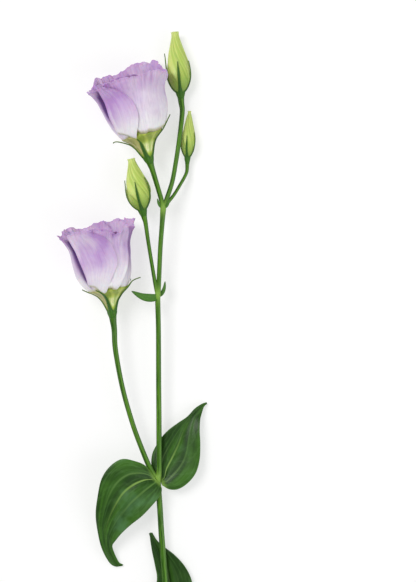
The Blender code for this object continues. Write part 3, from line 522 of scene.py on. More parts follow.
LEAF_LOW_BACK = [
    ((165.8, 648.1, 0.75), (167.0, 648.4, 0.75), (168.5, 648.1, 0.75)),
    ((162.2, 640.2, 1.4), (167.5, 640.4, 0.75), (173.4, 640.6, 1.8)),
    ((157.2, 628.6, 2.6), (168.3, 628.2, 0.85), (182.1, 629.3, 3.6)),
    ((154.2, 613.0, 3.6), (168.9, 612.8, 1.2), (189.7, 615.7, 5.0)),
    ((154.0, 596.7, 3.8), (168.9, 596.3, 1.9), (193.4, 599.3, 5.6)),
    ((156.2, 582.5, 3.8), (167.9, 581.8, 2.6), (191.0, 583.0, 5.6)),
    ((154.0, 569.2, 4.2), (165.1, 569.0, 3.3), (183.9, 569.2, 5.6)),
    ((151.4, 556.5, 4.6), (160.3, 557.3, 3.9), (173.9, 558.3, 5.4)),
    ((149.8, 546.8, 4.6), (155.4, 547.7, 4.1), (163.8, 550.8, 4.9)),
    ((148.9, 540.6, 4.2), (152.1, 541.4, 4.0), (156.6, 544.6, 4.2)),
    ((148.0, 537.3, 3.6), (149.4, 536.4, 3.6), (151.4, 536.4, 3.6)),
]
LEAF_LOW_SIDE = [
    ((164.1, 639.5, 4.9), (163.2, 641.0, 4.6), (162.3, 642.5, 4.4)),
    ((161.2, 631.1, 6.6), (157.5, 637.6, 5.4), (153.8, 644.1, 5.2)),
    ((155.7, 623.6, 8.2), (150.0, 633.6, 6.4), (144.3, 643.6, 6.0)),
    ((147.7, 616.9, 9.0), (140.5, 628.0, 7.0), (133.3, 639.1, 6.4)),
    ((137.5, 610.5, 8.8), (130.0, 620.6, 6.8), (122.5, 630.7, 6.0)),
    ((125.6, 604.7, 7.4), (119.5, 612.4, 5.6), (113.4, 620.1, 4.8)),
    ((113.1, 599.8, 5.2), (109.5, 604.4, 4.0), (105.9, 609.0, 3.4)),
    ((101.7, 596.0, 2.6), (100.5, 597.5, 2.3), (99.3, 599.0, 2.4)),
]


def unit(vector):
    """The vector scaled to length one."""
    vector = np.asarray(vector, float)
    return vector / np.linalg.norm(vector)


def smooth_line(points, per_span):
    """Points on a smooth line through the given ones, with every given one kept."""
    points = np.asarray(points, float)
    padded = np.vstack([2 * points[0] - points[1], points, 2 * points[-1] - points[-2]])
    line = []
    for i in range(1, len(padded) - 2):
        a, b, c, d = padded[i - 1 : i + 3]
        for step in range(per_span):
            t = step / per_span
            spread = 2 * a - 5 * b + 4 * c - d
            twist = 3 * b - a - 3 * c + d
            line.append(0.5 * (2 * b + (c - a) * t + spread * t * t + twist * t**3))
    line.append(points[-1])
    return np.array(line)


def travelled(*coordinates):
    """Distance along a line from its first point."""
    steps = np.linalg.norm([np.diff(coordinate) for coordinate in coordinates], axis=0)
    return np.concatenate([[0.0], np.cumsum(steps)])


def ease(value, low, high):
    """0 below low, 1 above high and a smooth rise between them."""
    t = np.clip((value - low) / (high - low), 0.0, 1.0)
    return t * t * (3 - 2 * t)


def hump(value, centre, width):
    """1 at the centre, falling softly to 0 on both sides."""
    return np.exp(-(((value - centre) / width) ** 2))


def interpolated(profile, height):
    """The second value of a profile at a height, on a smooth line through its points."""
    line = smooth_line(profile, 6)
    return np.interp(height, line[:, 0], line[:, 1])


def spots(angle, height, marks):
    """Sum of soft spots about a bloom."""
    total = np.zeros(np.broadcast(angle, height).shape)
    for centre, wide, level, tall, size in marks:
        total += size * hump(angle, centre, wide) * hump(height, level, tall)
    return total


class Seat:
    """The local frame of a bloom or bud: h runs up its axis, x to the right and y toward the sky."""

    def __init__(self, x, y, z, tilt_left, rise, sway=((0.0, 0.0), (1.0, 0.0))):
        self.base = np.array([x, y, z], float)
        tilt = math.radians(tilt_left)
        lift = math.radians(rise)
        level = math.cos(lift)
        self.axis = np.array([-math.sin(tilt) * level, math.cos(tilt) * level, math.sin(lift)])
        self.right = unit(np.cross(self.axis, (0.0, 0.0, 1.0)))
        self.up = np.cross(self.right, self.axis)
        self.sway = np.array(sway, float)

    def world(self, x, y, h):
        """World points for local ones. The axis sways a little to one side."""
        x, y, h = (value[..., None] for value in np.broadcast_arrays(x, y, h))
        aside = x + np.interp(h, self.sway[:, 0], self.sway[:, 1])
        return self.base + aside * self.right + y * self.up + h * self.axis

    def round(self, angle, height, radius):
        """World points at angles in degrees, heights and radii about the axis."""
        turn = np.radians(angle)
        return self.world(radius * np.cos(turn), radius * np.sin(turn), height)


SEATS = {
    "bloom_left": Seat(-44.3, 275.6, 19.967, 9.6, 8.0, SWAY_LEFT),
    "bloom_upper": Seat(-15.4, 390.8, 22.853, 16.1, 8.0, SWAY_UPPER),
    "bud_low": Seat(-20.4, 351.8, 19.4, 12.4, 3.0),
    "bud_tall": Seat(7.7, 441.2, 9.38, 5.2, 0.0),
    "bud_small": Seat(12.9, 392.3, 6.2, -2.5, 0.0),
}


# For each bloom and bud: its stalk, how far below it the stalk turns onto its axis, and the end radius
STALKS = {
    "bloom_left": (STALK_TO_BLOOM_LEFT, 14.0, 3.1),
    "bud_low": (STALK_TO_BUD_LOW, 10.0, 2.7),
    "bloom_upper": (STALK_TO_BLOOM_UPPER, 10.0, 3.1),
    "bud_tall": (STALK_TO_BUD_TALL, 14.0, 2.7),
    "bud_small": (STALK_TO_BUD_SMALL, 9.0, 1.8),
}


def stalk_end(name):
    """The last points of a stalk as distances below the bloom or bud and radii."""
    stalk, under, end_radius = STALKS[name]
    start_radius = stalk[-1][3]
    shares = ((under, 0.15), (0.5 * under, 0.5), (2.0, 0.92), (0.1, 1.0))
    return [(back, start_radius + (end_radius - start_radius) * part) for back, part in shares]


def neck_radius(name, height):
    """Radius of the stalk at a height at or below the foot of a bloom or bud."""
    ends = [(-back, radius) for back, radius in stalk_end(name)]
    return interpolated(ends, np.minimum(height, 0.0))


def stalk_line(name):
    """The smooth line of a stalk from inside the stem to the foot of its bloom or bud."""
    points = list(STALKS[name][0])
    for back, radius in stalk_end(name):
        points.append((*SEATS[name].world(0.0, 0.0, -back), radius))
    return smooth_line(points, 7)


class Shape:
    """Gathers the points, faces and painted values of one piece, part by part."""

    def __init__(self, *painted):
        self.points = []
        self.faces = []
        self.grain = []
        self.painted = {name: [] for name in painted}
        self.count = 0

    def add(self, points, faces, grain, values):
        """Adds points in mm, faces that count from zero, grain places and painted values."""
        self.points.append(points)
        self.grain.append(grain)
        for name, gathered in self.painted.items():
            gathered.append(values[name])
        self.faces += [tuple(int(corner) + self.count for corner in face) for face in faces]
        self.count += len(points)

    def add_sheet(self, middle, thickness, grain, front, back=None, mirrored=False):
        """A closed thin sheet about a grid of points, with painted values for either face.

        The front faces the way of columns crossed with rows, or the other way where it is mirrored.
        """
        rows, columns = middle.shape[:2]
        order = slice(None, None, -1 if mirrored else 1)
        middle, grain = middle[:, order], grain[:, order].reshape(-1, 3)
        thickness = np.broadcast_to(thickness, (rows, columns))[:, order]
        outward = sheet_normals(middle) * thickness[..., None] / 2
        numbers = np.arange(rows * columns).reshape(rows, columns)
        shift = numbers.size
        faces = quads(numbers[:-1, :-1], numbers[:-1, 1:], numbers[1:, 1:], numbers[1:, :-1])
        faces += [tuple(shift + corner for corner in reversed(face)) for face in faces]
        rim = [*numbers[0], *numbers[1:, -1], *numbers[-1, -2::-1], *numbers[-2:0:-1, 0]]
        for here, following in zip(rim, rim[1:] + rim[:1]):
            faces.append((following, here, here + shift, following + shift))
        values = {}
        for name in self.painted:
            pair = [side.get(name, 0.0) for side in (front, back or front)]
            spread = [np.broadcast_to(value, (rows, columns))[:, order] for value in pair]
            values[name] = np.concatenate([value.ravel() for value in spread])
        points = np.concatenate([(middle + outward).reshape(-1, 3), (middle - outward).reshape(-1, 3)])
        self.add(points, faces, np.concatenate([grain, grain]), values)

    def add_rings(self, rings, grain, values):
        """A body through rings of equal count, with its ends closed by a point in their middle."""
        levels, sides = rings.shape[:2]
        numbers = np.arange(levels * sides).reshape(levels, sides)
        following = np.roll(numbers, -1, axis=1)
        faces = quads(numbers[:-1], following[:-1], following[1:], numbers[1:])
        first_tip, last_tip = numbers.size, numbers.size + 1
        faces += [(first_tip, b, a) for a, b in zip(numbers[0], following[0])]
        faces += [(last_tip, a, b) for a, b in zip(numbers[-1], following[-1])]
        ends = [0, -1]
        painted = {}
        for name in self.painted:
            value = np.broadcast_to(values.get(name, 0.0), (levels, sides))
            painted[name] = np.concatenate([value.ravel(), value[ends, 0]])
        tipped = [np.concatenate([grid.reshape(-1, 3), grid[ends].mean(axis=1)]) for grid in (rings, grain)]
        self.add(tipped[0], faces, tipped[1], painted)

    def finish(self, name, material, slot, *nodes):
        """Makes the object, gives it its material and sets it on the body."""
        points = np.concatenate(self.points)
        points[:, 2] = np.maximum(points[:, 2], FLOOR_CLEARANCE)
        mesh = bpy.data.meshes.new(name)
        mesh.from_pydata((points * METRES_PER_MM).tolist(), [], self.faces)
        grain = mesh.attributes.new("grain", "FLOAT_VECTOR", "POINT")
        grain.data.foreach_set("vector", np.concatenate(self.grain).astype(np.float32).ravel())
        for painted, gathered in self.painted.items():
            layer = mesh.attributes.new(painted, "FLOAT", "POINT")
            layer.data.foreach_set("value", np.concatenate(gathered).astype(np.float32))
        mesh.polygons.foreach_set("use_smooth", [True] * len(mesh.polygons))
        mesh.materials.append(material)
        mesh.update()
        piece = bpy.data.objects.new(name, mesh)
        bpy.context.scene.collection.objects.link(piece)
        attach(piece, BODY)
        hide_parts(*nodes)
        return piece


def quads(*corners):
    """Faces from four grids with the numbers of their corners."""
    return list(zip(*(corner.ravel() for corner in corners)))


def places(*coordinates):
    """Points of a grid from their coordinates, each a number, a row, a column or a grid."""
    return np.stack(np.broadcast_arrays(*coordinates), axis=-1)


def sheet_normals(middle):
    """Unit normals of a grid of points."""
    normals = np.cross(np.gradient(middle, axis=1), np.gradient(middle, axis=0))
    return normals / np.maximum(np.linalg.norm(normals, axis=-1, keepdims=True), 1e-9)


def tube_rings(line, sides, ripple=0.0):
    """Rings round a line of x, y, z and radius, and their grain: round the stem and along it."""
    path = line[:, :3]
    ahead = np.gradient(path, axis=0)
    along = travelled(*path.T)
    side_way = np.cross(ahead[0], (0.0, 0.0, 1.0))
    turn = (np.arange(sides) + 0.5) * 2 * math.pi / sides + math.pi / 2
    rings = []
    for centre, forward, radius, distance in zip(path, ahead, line[:, 3], along):
        forward = unit(forward)
        side_way = unit(side_way - forward * np.dot(side_way, forward))
        up_way = np.cross(side_way, forward)
        radii = radius * (1.0 + ripple * np.cos(4 * turn + 0.01 * distance))
        across = np.outer(radii * np.cos(turn), side_way)
        rings.append(centre + across - np.outer(radii * np.sin(turn), up_way))
    return np.array(rings), places(np.cos(turn), np.sin(turn), STEM_GRAIN * along[:, None])


def ring_angles(sides):
    """The angles of a ring's points about a seat's axis."""
    return -np.arange(sides) * 360.0 / sides


def turned_rings(seat, heights, radii, sides):
    """Rings about a seat's axis at heights and radii, each a column or a grid, and their grain."""
    turn = np.radians(ring_angles(sides))
    return seat.round(ring_angles(sides), heights, radii), places(np.cos(turn), np.sin(turn), heights)


def column(values):
    """The values one below the other, to be spread over a ring or a row."""
    return np.asarray(values, float)[:, None]


class Ruffle:
    """The crinkle of a petal's edge as a sum of waves, the same for all petals of one layer."""

    def __init__(self, seed, waves):
        chance = np.random.default_rng(seed)
        self.waves = [(count, size, *chance.uniform(0, 2 * math.pi, 2)) for count, size in waves]

    def outward(self, angle, height):
        """How far the edge swings out, about from -1 to 1."""
        turned = np.radians(angle)
        lag = 0.05 * height
        return sum(size * np.sin(turned * count + turn + lag) for count, size, turn, _ in self.waves)

    def upward(self, angle):
        """How far the edge swings up."""
        turned = np.radians(angle)
        return sum(size * np.sin(turned * (count + 2) + turn) for count, size, _, turn in self.waves[2:])


def row_shares(rows):
    """Row positions from foot to rim, closer together near the rim."""
    share = np.linspace(0.0, 1.0, rows)[:, None]
    return 0.45 * share + 0.55 * (1.0 - (1.0 - share) ** 2)


def above_floor(points):
    """Eases points that would reach the surface back over it, so that a petal lies on it and is not cut."""
    height = points[..., 2]
    eased = LYING_HEIGHT + LYING_SOFTNESS * np.logaddexp(0.0, (height - LYING_HEIGHT) / LYING_SOFTNESS)
    points[..., 2] = np.where(height < EASED_BELOW, eased, height)
    return points


def add_petal(shape, seat, angle, height, radius, across, t, number, thickness, front, back):
    """One petal through angles, heights and radii, thick in its middle and thin at its edges."""
    middle = above_floor(seat.round(angle, height, radius))
    thin = np.maximum(ease(np.abs(across), 0.85, 1.0), ease(t, 0.9, 1.0))
    thick = thickness * (1.0 - 0.45 * thin)
    shape.add_sheet(middle, thick, places(across, t, number), front, {**front, **back}, mirrored=True)


def add_outer_petal(shape, seat, profile, petal, ruffle, size, number, thickness):
    """One outer petal between its side edges, its foot and its rim."""
    rows, columns = OUTER_GRID
    across = np.linspace(-1.0, 1.0, columns)
    t = row_shares(rows)

    def between(level):
        """Angles from the low side edge to the high one at a height."""
        low, high = (interpolated(petal[side], level) for side in ("low", "high"))
        return low + (high - low) * (across + 1.0) / 2.0

    if "foot" in petal:
        foot = interpolated(petal["foot"], between(FOOT_LEVEL))
    else:
        foot = FOOT_MIDDLE + FOOT_RISE * np.abs(across) ** 2.2
    crown = max(level for _, level in petal["rim"]) - 1.0
    top = interpolated(petal["rim"], between(crown)) + 0.45 * size * ruffle.upward(between(crown))
    height = foot + (top - foot) * t
    angle = between(height)

    kinds = ("bumps", "tints_and_highlights", "shaded_gaps")
    bumps, tints_and_highlights, shaded_gaps = (spots(angle, height, petal.get(kind, ())) for kind in kinds)
    first, last = petal["order"]
    lean = first if first == last else np.sign(last - first) * across
    free = ease(height, foot + 1.0, foot + 6.0)
    tucked = ease(-lean, 0.15, 0.45)
    edge = ease(np.abs(across), 0.82, 1.0) * ease(t, 0.12, 0.45)
    bulge = ease(height, foot, foot + 1.6) * (1.0 - ease(height, foot + 2.0, foot + 7.0))
    radius = interpolated(profile, height) - 0.35 + PETAL_LAP * free * (lean - 1.0)
    radius = radius - FOOT_TUCK * tucked * (1.0 - free) + FOOT_BULGE * (1.0 - tucked) * bulge
    radius = radius - FOOT_ROUNDING * (1.0 - ease(height, foot, foot + 0.9))
    radius = radius + np.where(across < 0, *petal.get("lift", (0.0, 0.0))) * edge
    radius = radius + 0.18 * np.sin(across * 7.0 + crown) * np.sin(math.pi * t) + bumps
    radius = radius + size * ease(t, 0.66, 1.0) ** 1.6 * ruffle.outward(angle, height)
    radius = radius + OUTER_FLARE * ease(t, 0.93, 1.0) ** 2

    start, full, least, most = petal["lilac"]
    strength, reach = petal.get("stain", (0.8, 3.2))
    front = {
        # Lilac spots: partly the petal's own tone, partly painted highlights where a pale spot marks a lit
        # fold or edge
        "lilac": least + (most - least) * ease(height, start, full) + tints_and_highlights,
        # Painted shade in dark violet from the shaded spots
        "violet_shade": np.clip(shaded_gaps, 0.0, 1.0),
        "green": strength * (1.0 - ease(height, foot, foot + reach)),
        "rim": ease(t, 0.95, 1.0),
    }
    back = {
        "lilac": 0.50 + 0.28 * ease(height, 30.0, 55.0),
        # Painted shade in dark violet low on the inner face, inside the bloom
        "violet_shade": 0.22 - 0.20 * ease(height, 34.0, 60.0),
    }
    add_petal(shape, seat, angle, height, radius, across, t, number, thickness, front, back)


def add_inner_petal(shape, seat, whorl, number, turn, rim, ruffle, size, place_number, thickness):
    """One petal of an inner whorl."""
    rows, columns = whorl["grid"]
    foot = whorl["foot"]
    across = np.linspace(-1.0, 1.0, columns)
    t = row_shares(rows)
    half = whorl["half"] * (0.92 + 0.08 * ease(t, 0.05, 0.62))
    angle = turn + number * whorl["step"] + half * across
    top = (rim - whorl["drops"][number] - foot) * (1.0 - whorl["corner"] * np.abs(across) ** 2.6)
    height = foot + (top + size * 1.2 * ruffle.upward(angle)) * t
    spread = whorl["spread"] * ease(height, foot + 1.0, foot + 6.0) * across
    radius = interpolated(whorl["profile"], height) + spread
    radius = radius + size * ease(t, 0.55, 1.0) ** 1.4 * ruffle.outward(angle, height)
    radius = radius + 0.15 * np.sin(across * 6.0 + number) * np.sin(math.pi * t)
    radius = radius + INNER_FLARE * ease(t, 0.90, 1.0) ** 2
    front = {
        "lilac": 0.10 + 0.70 * ease(height, 26.0, 50.0),
        "violet_shade": 0.06 * ease(height, 30.0, 46.0),
        "green": 1.0 - ease(height, 11.0, 20.0),
        "rim": ease(t, 0.94, 1.0),
    }
    back = {
        "lilac": 0.50 + 0.45 * ease(height, 26.0, 50.0),
        # Painted shade in dark violet low on the inner face, inside the bloom
        "violet_shade": 0.21 - 0.20 * ease(height, 30.0, 52.0),
    }
    add_petal(shape, seat, angle, height, radius, across, t, place_number, thickness, front, back)


def build_outer_petals(name, profile, petals, seed, settings, material):
    """The five outer petals of a bloom as one piece."""
    shape = Shape(*PETAL_PAINT)
    ruffle = Ruffle(seed, COARSE_WAVES)
    size = settings.ruffle_size / METRES_PER_MM
    thickness = settings.petal_thickness / METRES_PER_MM
    for number, petal in enumerate(petals):
        add_outer_petal(shape, SEATS[name], profile, petal, ruffle, size, number + seed, thickness)
    return shape.finish(name + "_outer_petals", material, "petal_lilac", name + "_corolla")


def build_inner_petals(name, turn, rim, seed, settings, material):
    """The two inner whorls of a bloom as one piece."""
    shape = Shape(*PETAL_PAINT)
    thickness = settings.petal_thickness / METRES_PER_MM
    for layer, whorl in enumerate(INNER_WHORLS):
        ruffle = Ruffle(seed + 5 + layer, FINE_WAVES)
        size = settings.ruffle_size / METRES_PER_MM * whorl["ruffle"]
        for number in range(len(whorl["drops"])):
            add_inner_petal(
                shape, SEATS[name], whorl, number, turn + whorl["turn"], rim - whorl["lower"], ruffle, size,
                10.0 * (layer + 1) + number + seed, thickness,
            )
    return shape.finish(name + "_inner_petals", material, "petal_lilac", name + "_corolla")


def build_tube(name, profile, sepals, material):
    """The green tube that the petals grow from."""
    outside = np.linspace(TUBE_FOOT, TUBE_TOP, TUBE_ROWS)
    radii = interpolated(profile, outside) - TUBE_INSET - TUBE_TOP_INSET * ease(outside, 17.5, 21.0)
    inner = ((21.0, radii[-1] - 0.9), *TUBE_INSIDE)
    heights = column([*outside, *(height for height, _ in inner)])
    radii = column([*radii, *(radius for _, radius in inner)])
    first, second = (angle for angle, _ in sepals[:2])
    angles = ring_angles(TUBE_SIDES)
    strength = ease(heights, 3.0, 8.0) * (1.0 - ease(heights, 12.0, 16.0))
    folds = np.cos(np.radians(10.0 * (angles - first))) * strength
    rings, grain = turned_rings(SEATS[name], heights, radii * (1.0 + 0.014 * folds), TUBE_SIDES)
    grain[..., 2] *= TUBE_GRAIN
    turn = (angles - first) % 360.0
    span = (second - first) % 360.0
    values = {
        "height": column([*outside, *(21.0 for _ in inner)]) / 20.0,
        # Sector between the first two sepals: partly the beige of a thin membrane there, partly painted
        # shade
        "beige_and_shade": ease(turn, 4.0, 10.0) * (1.0 - ease(turn, span - 6.0, span)),
        "line": hump((turn + 36.0) % 72.0, 0.0, 5.0),
    }
    shape = Shape(*values)
    shape.add_rings(rings, grain, values)
    return shape.finish(name + "_tube", material, "petal_lilac", name + "_corolla")


def sepal_line(name, profile, angle, line):
    """Heights, radii and angles of a sepal's inner face, evenly spaced from the stalk to its tip."""
    line = smooth_line(SEPAL_START + line, 8)
    heights = line[:, 0]
    on_stalk = neck_radius(name, heights) + 0.02 - 0.5 * (1.0 - ease(heights, -6.0, -0.5))
    on_bloom = interpolated(profile, np.maximum(heights, 1.3)) - 0.12 + line[:, 1]
    radii = on_stalk + (on_bloom - on_stalk) * ease(heights, -1.0, 2.5)
    steps = travelled(heights, radii)
    even = np.linspace(0.0, steps[-1], SEPAL_ROWS)
    return [np.interp(even, steps, values) for values in (heights, radii, angle + line[:, 2])]


def add_sepal(shape, name, profile, sepal, width, number):
    """One narrow sepal with a keel and thin pale margins, which runs down onto the stalk."""
    height, radius, angle = (column(values) for values in sepal_line(name, profile, *sepal))
    t = column(np.linspace(0.0, 1.0, SEPAL_ROWS))
    side = np.linspace(-1.0, 1.0, SEPAL_COLUMNS)
    rise, run = np.gradient(height, axis=0), np.gradient(radius, axis=0)
    length = np.hypot(rise, run)
    taper = np.minimum(1.0, (1.0 - t) * 3.0 + 0.10) ** 0.8
    green_half = width * interpolated(SEPAL_HALF_WIDTH, height) * taper
    half = green_half + 0.45 * width * ease(height, 0.5, 4.0) * taper
    span = side * half
    keel = hump(span, 0.0, 0.62 * green_half)
    extra = width * (SEPAL_THICK + SEPAL_KEEL * keel) * ease(height, -4.5, 1.5) * (1.0 - 0.45 * t)
    swell = SEPAL_THIN + np.where(np.abs(span) > green_half, 0.35 * extra, extra)
    lift = (0.10 + 0.30 * ease(height, -3.0, 2.0)) * swell
    turn = np.radians(angle) + span / np.maximum(radius, 1.0)
    out = radius + rise / length * (lift + 0.05)
    middle = SEATS[name].world(out * np.cos(turn), out * np.sin(turn), height - run / length * lift)
    values = {
        "margin": ease(np.abs(span), green_half - 0.15 * width, green_half + 0.2 * width),
        "foot": 1.0 - ease(height, -4.0, 6.0),
    }
    shape.add_sheet(middle, swell, places(side, t, number), values, mirrored=True)


def build_calyx(name, profile, sepals, foot_radius, width, material):
    """The green cup under a bloom or bud, with its five sepals."""
    shape = Shape("margin", "foot")
    top = float(interpolated(profile, 1.3))
    widest = max(foot_radius, top)
    cup = [(height, neck_radius(name, height) + 0.04) for height in (-4.0, -3.0, -2.0, -1.0)]
    cup += [(0.0, foot_radius + 0.08), (0.6, widest + 0.16), (1.1, widest + 0.05)]
    cup += [(1.2, top - 0.1), (0.9, top - 0.5)]
    heights, radii = (column(values) for values in zip(*cup))
    rings, grain = turned_rings(SEATS[name], heights, radii, CUP_SIDES)
    shape.add_rings(rings, grain, {"foot": 1.0 - 0.4 * ease(heights, 0.0, 1.2)})
    for number, sepal in enumerate(sepals):
        add_sepal(shape, name, profile, sepal, width, number)
    return shape.finish(name + "_sepals", material, "sepal_green", name + "_calyx")


def add_ball(shape, seat, x, y, h, across, along, values):
    """A rounded body about a seat's axis direction."""
    turns = np.radians(ring_angles(BALL_SIDES))
    lean = column(np.pi * np.arange(1, 10) / 10)
    ring = across * np.sin(lean)
    rings = seat.world(x + ring * np.cos(turns), y + ring * np.sin(turns), h - along * np.cos(lean))
    shape.add_rings(rings, rings * 0.5, values)


def build_pistil(name, material):
    """Ovary, style, two-lobed stigma and the five stamens round it."""
    seat = SEATS[name]
    shape = Shape("pollen", "stigma")
    line = smooth_line(OVARY_PROFILE, 4)
    rings, grain = turned_rings(seat, line[:, :1], line[:, 1:], PISTIL_SIDES)
    shape.add_rings(rings, grain, {})
    (aside, up), *lobe = STIGMA_LOBE
    for way in (-1.0, 1.0):
        add_ball(shape, seat, aside * way, up * way, *lobe, {"stigma": 1.0})
    out, *anther = ANTHER
    for degrees in STAMEN_TURNS:
        turn = math.radians(degrees)
        line = []
        for height, radius in STAMEN_PROFILE:
            middle = seat.world(radius * math.cos(turn), radius * math.sin(turn), height)
            line.append((*middle, STAMEN_RADIUS))
        rings, grain = tube_rings(smooth_line(line, 5), STAMEN_SIDES)
        shape.add_rings(rings, grain, {})
        add_ball(shape, seat, out * math.cos(turn), out * math.sin(turn), *anther, {"pollen": 1.0})
    return shape.finish(name + "_stamens", material, "pistil_yellow_green", name + "_pistil")


def build_bud(name, profile, turns, seed, material):
    """A closed bud whose petals are wound round each other, with a crinkled tip."""
    seat = SEATS[name]
    length = profile[-1][0]
    ruffle = Ruffle(seed, BUD_WAVES)
    line = smooth_line(profile, 8)
    heights, radii = line[:, :1], line[:, 1:]
    angles = ring_angles(BUD_SIDES)
    phase = BUD_PETALS * (angles / 360.0 - turns * heights / length - 0.05 * np.sin(3.0 * heights / length))
    saw = phase - np.floor(phase)
    depth = BUD_FOLD * ease(heights, 0.06 * length, 0.3 * length)
    fold = depth * (ease(saw, 0.0, 1.0) * 0.7 + saw * 0.3 - 1.0)
    wide = radii * (1.0 + fold + 0.012 * hump(saw, 0.93, 0.07))
    tip = ease(heights, 0.93 * length, length)
    wide = wide * (1.0 + 0.10 * tip * ruffle.outward(angles, 0.0))
    rings = seat.round(angles, heights + 0.55 * tip * ruffle.upward(angles), wide)
    centre = rings[-1].mean(axis=0)
    hollow = []
    for inward, down in ((0.25, 0.5), (0.65, 1.2)):
        hollow.append(rings[-1] + (centre - rings[-1]) * inward - seat.axis * down)
    heights = column([*line[:, 0], length, length])
    turn = np.radians(angles) - 2 * math.pi * turns * heights / length
    shape = Shape("fold", "tip", "foot")
    values = {
        "fold": np.concatenate([1.0 - ease(saw, 0.0, 0.22), np.zeros((2, BUD_SIDES))]),
        "tip": ease(heights, 0.86 * length, length),
        "foot": 1.0 - ease(heights, 0.0, 0.46 * length),
    }
    grain = places(np.cos(turn), np.sin(turn), heights / length)
    shape.add_rings(np.concatenate([rings, hollow]), grain, values)
    return shape.finish(name + "_petals", material, "bud_pale_green", name + "_corolla")


def leaf_grid(stations, fold, wave):
    """The middle surface of a leaf, with grooves along its veins, and the places across and along it."""
    rows = np.array(stations, float)
    rows[..., 0] = (rows[..., 0] - GRID_ORIGIN[0]) * GRID_STEP
    rows[..., 1] = (GRID_ORIGIN[1] - rows[..., 1]) * GRID_STEP
    left, rib, right = (smooth_line(rows[:, place], 8)[:, None] for place in range(3))
    v = column(np.linspace(0.0, 1.0, len(rib)))
    side = np.arange(-LEAF_COLUMNS, LEAF_COLUMNS + 1) / LEAF_COLUMNS
    part = np.abs(side)
    edge = np.where(side[:, None] < 0, left, right)
    grid = rib + (edge - rib) * part[:, None]
    reach = np.linalg.norm(edge - rib, axis=-1)
    side_vein = 0.40 * np.sin(math.pi * np.clip(v * 0.92 + 0.06, 0.0, 1.0)) ** 0.5 + 0.02
    grooves = MIDRIB_GROOVE * hump(part, 0.0, 0.09) + SIDE_VEIN_GROOVE * hump(part, side_vein, 0.05)
    bulge = fold * np.sin(math.pi * part) - grooves
    way = np.where(side < 0, -1.0, 1.0)
    ripple = wave * part**2 * np.sin(v * 19.0 + 1.4 * way) * np.sin(math.pi * v)
    grid[..., 2] += reach * bulge + ripple
    return grid, side, v


def build_leaf(name, stations, fold, wave, number, shade, material):
    """One leaf with its veins pressed in."""
    shape = Shape("under", "shade")
    grid, side, v = leaf_grid(stations, fold, wave)
    part = np.abs(side)
    foot = 1.0 - ease(v, 0.0, 0.12)
    thick = 0.42 + 0.30 * hump(part, 0.0, 0.08) * (1.0 - v) + 0.25 * foot - 0.14 * ease(part, 0.9, 1.0)
    turned_over = sheet_normals(grid)[..., 2].mean() < 0
    upper, under = {"shade": shade}, {"under": 1.0, "shade": shade}
    shape.add_sheet(grid, thick, places(side, v, number), upper, under, mirrored=turned_over)
    return shape.finish(name + "_blade", material, "leaf_green", name)


def add_bract(shape, points, width, number):
    """A small pointed leaf from a fork."""
    line = smooth_line(points, 8)
    t = column(np.linspace(0.0, 1.0, len(line)))
    half = 0.5 * (width * np.sin(math.pi * np.clip(0.16 + 0.84 * t, 0, 1)) ** 0.8 + 0.35)
    side_way = np.cross(np.gradient(line, axis=0), (0.0, 0.0, 1.0))
    side_way = side_way / np.linalg.norm(side_way, axis=1, keepdims=True)
    side = np.linspace(-1.0, 1.0, BRACT_COLUMNS)
    grid = line[:, None] + side_way[:, None] * (side * half)[..., None]
    grid[..., 2] += half * (0.25 * side * side + 0.1 * np.abs(side))
    thick = 0.34 + 0.35 * hump(side, 0.0, 0.3) * (1.0 - 0.6 * t)
    shape.add_sheet(grid, thick, places(side, 0.2, t * 20.0 + number * 30.0), {"leafy": 1.0})


def add_stalk(shape, line, sides, cut=False):
    """A round stalk along a line of x, y, z and radius, whose first end may be cut."""
    rings, grain = tube_rings(line, sides, STEM_RIPPLE)
    node = np.zeros(len(line))
    for x, y in FORKS:
        node = np.maximum(node, hump(np.hypot(line[:, 0] - x, line[:, 1] - y), 0.0, 5.0))
    pith = np.zeros(len(line))
    if cut:
        shares, strengths = np.array(CUT_RINGS).T
        shares = shares[:, None, None]
        centre = rings[0].mean(axis=0)
        rings = np.concatenate([centre + (rings[0] - centre) * shares, rings])
        grain = np.concatenate([grain[0] * shares, grain])
        node = [*np.zeros(len(CUT_RINGS)), *node]
        pith = [*strengths, *pith]
    shape.add_rings(rings, grain, {"node": column(node), "cut": column(pith)})


def build_stem(material):
    """The main stem with its five stalks and its bracts."""
    shape = Shape("node", "cut", "leafy")
    add_stalk(shape, smooth_line(MAIN_STEM, 8), STEM_SIDES, cut=True)
    for name in STALKS:
        add_stalk(shape, stalk_line(name), STALK_SIDES)
    for number, (points, width) in enumerate(BRACTS):
        add_bract(shape, points, width, number)
    return shape.finish("stem_and_stalks", material, "stem_green", "stem")


def linear(red, green, blue):
    """A scene colour from red, green and blue of a picture, 0 to 255."""
    shares = [channel / 255.0 for channel in (red, green, blue)]
    return [share / 12.92 if share <= 0.04045 else ((share + 0.055) / 1.055) ** 2.4 for share in shares]


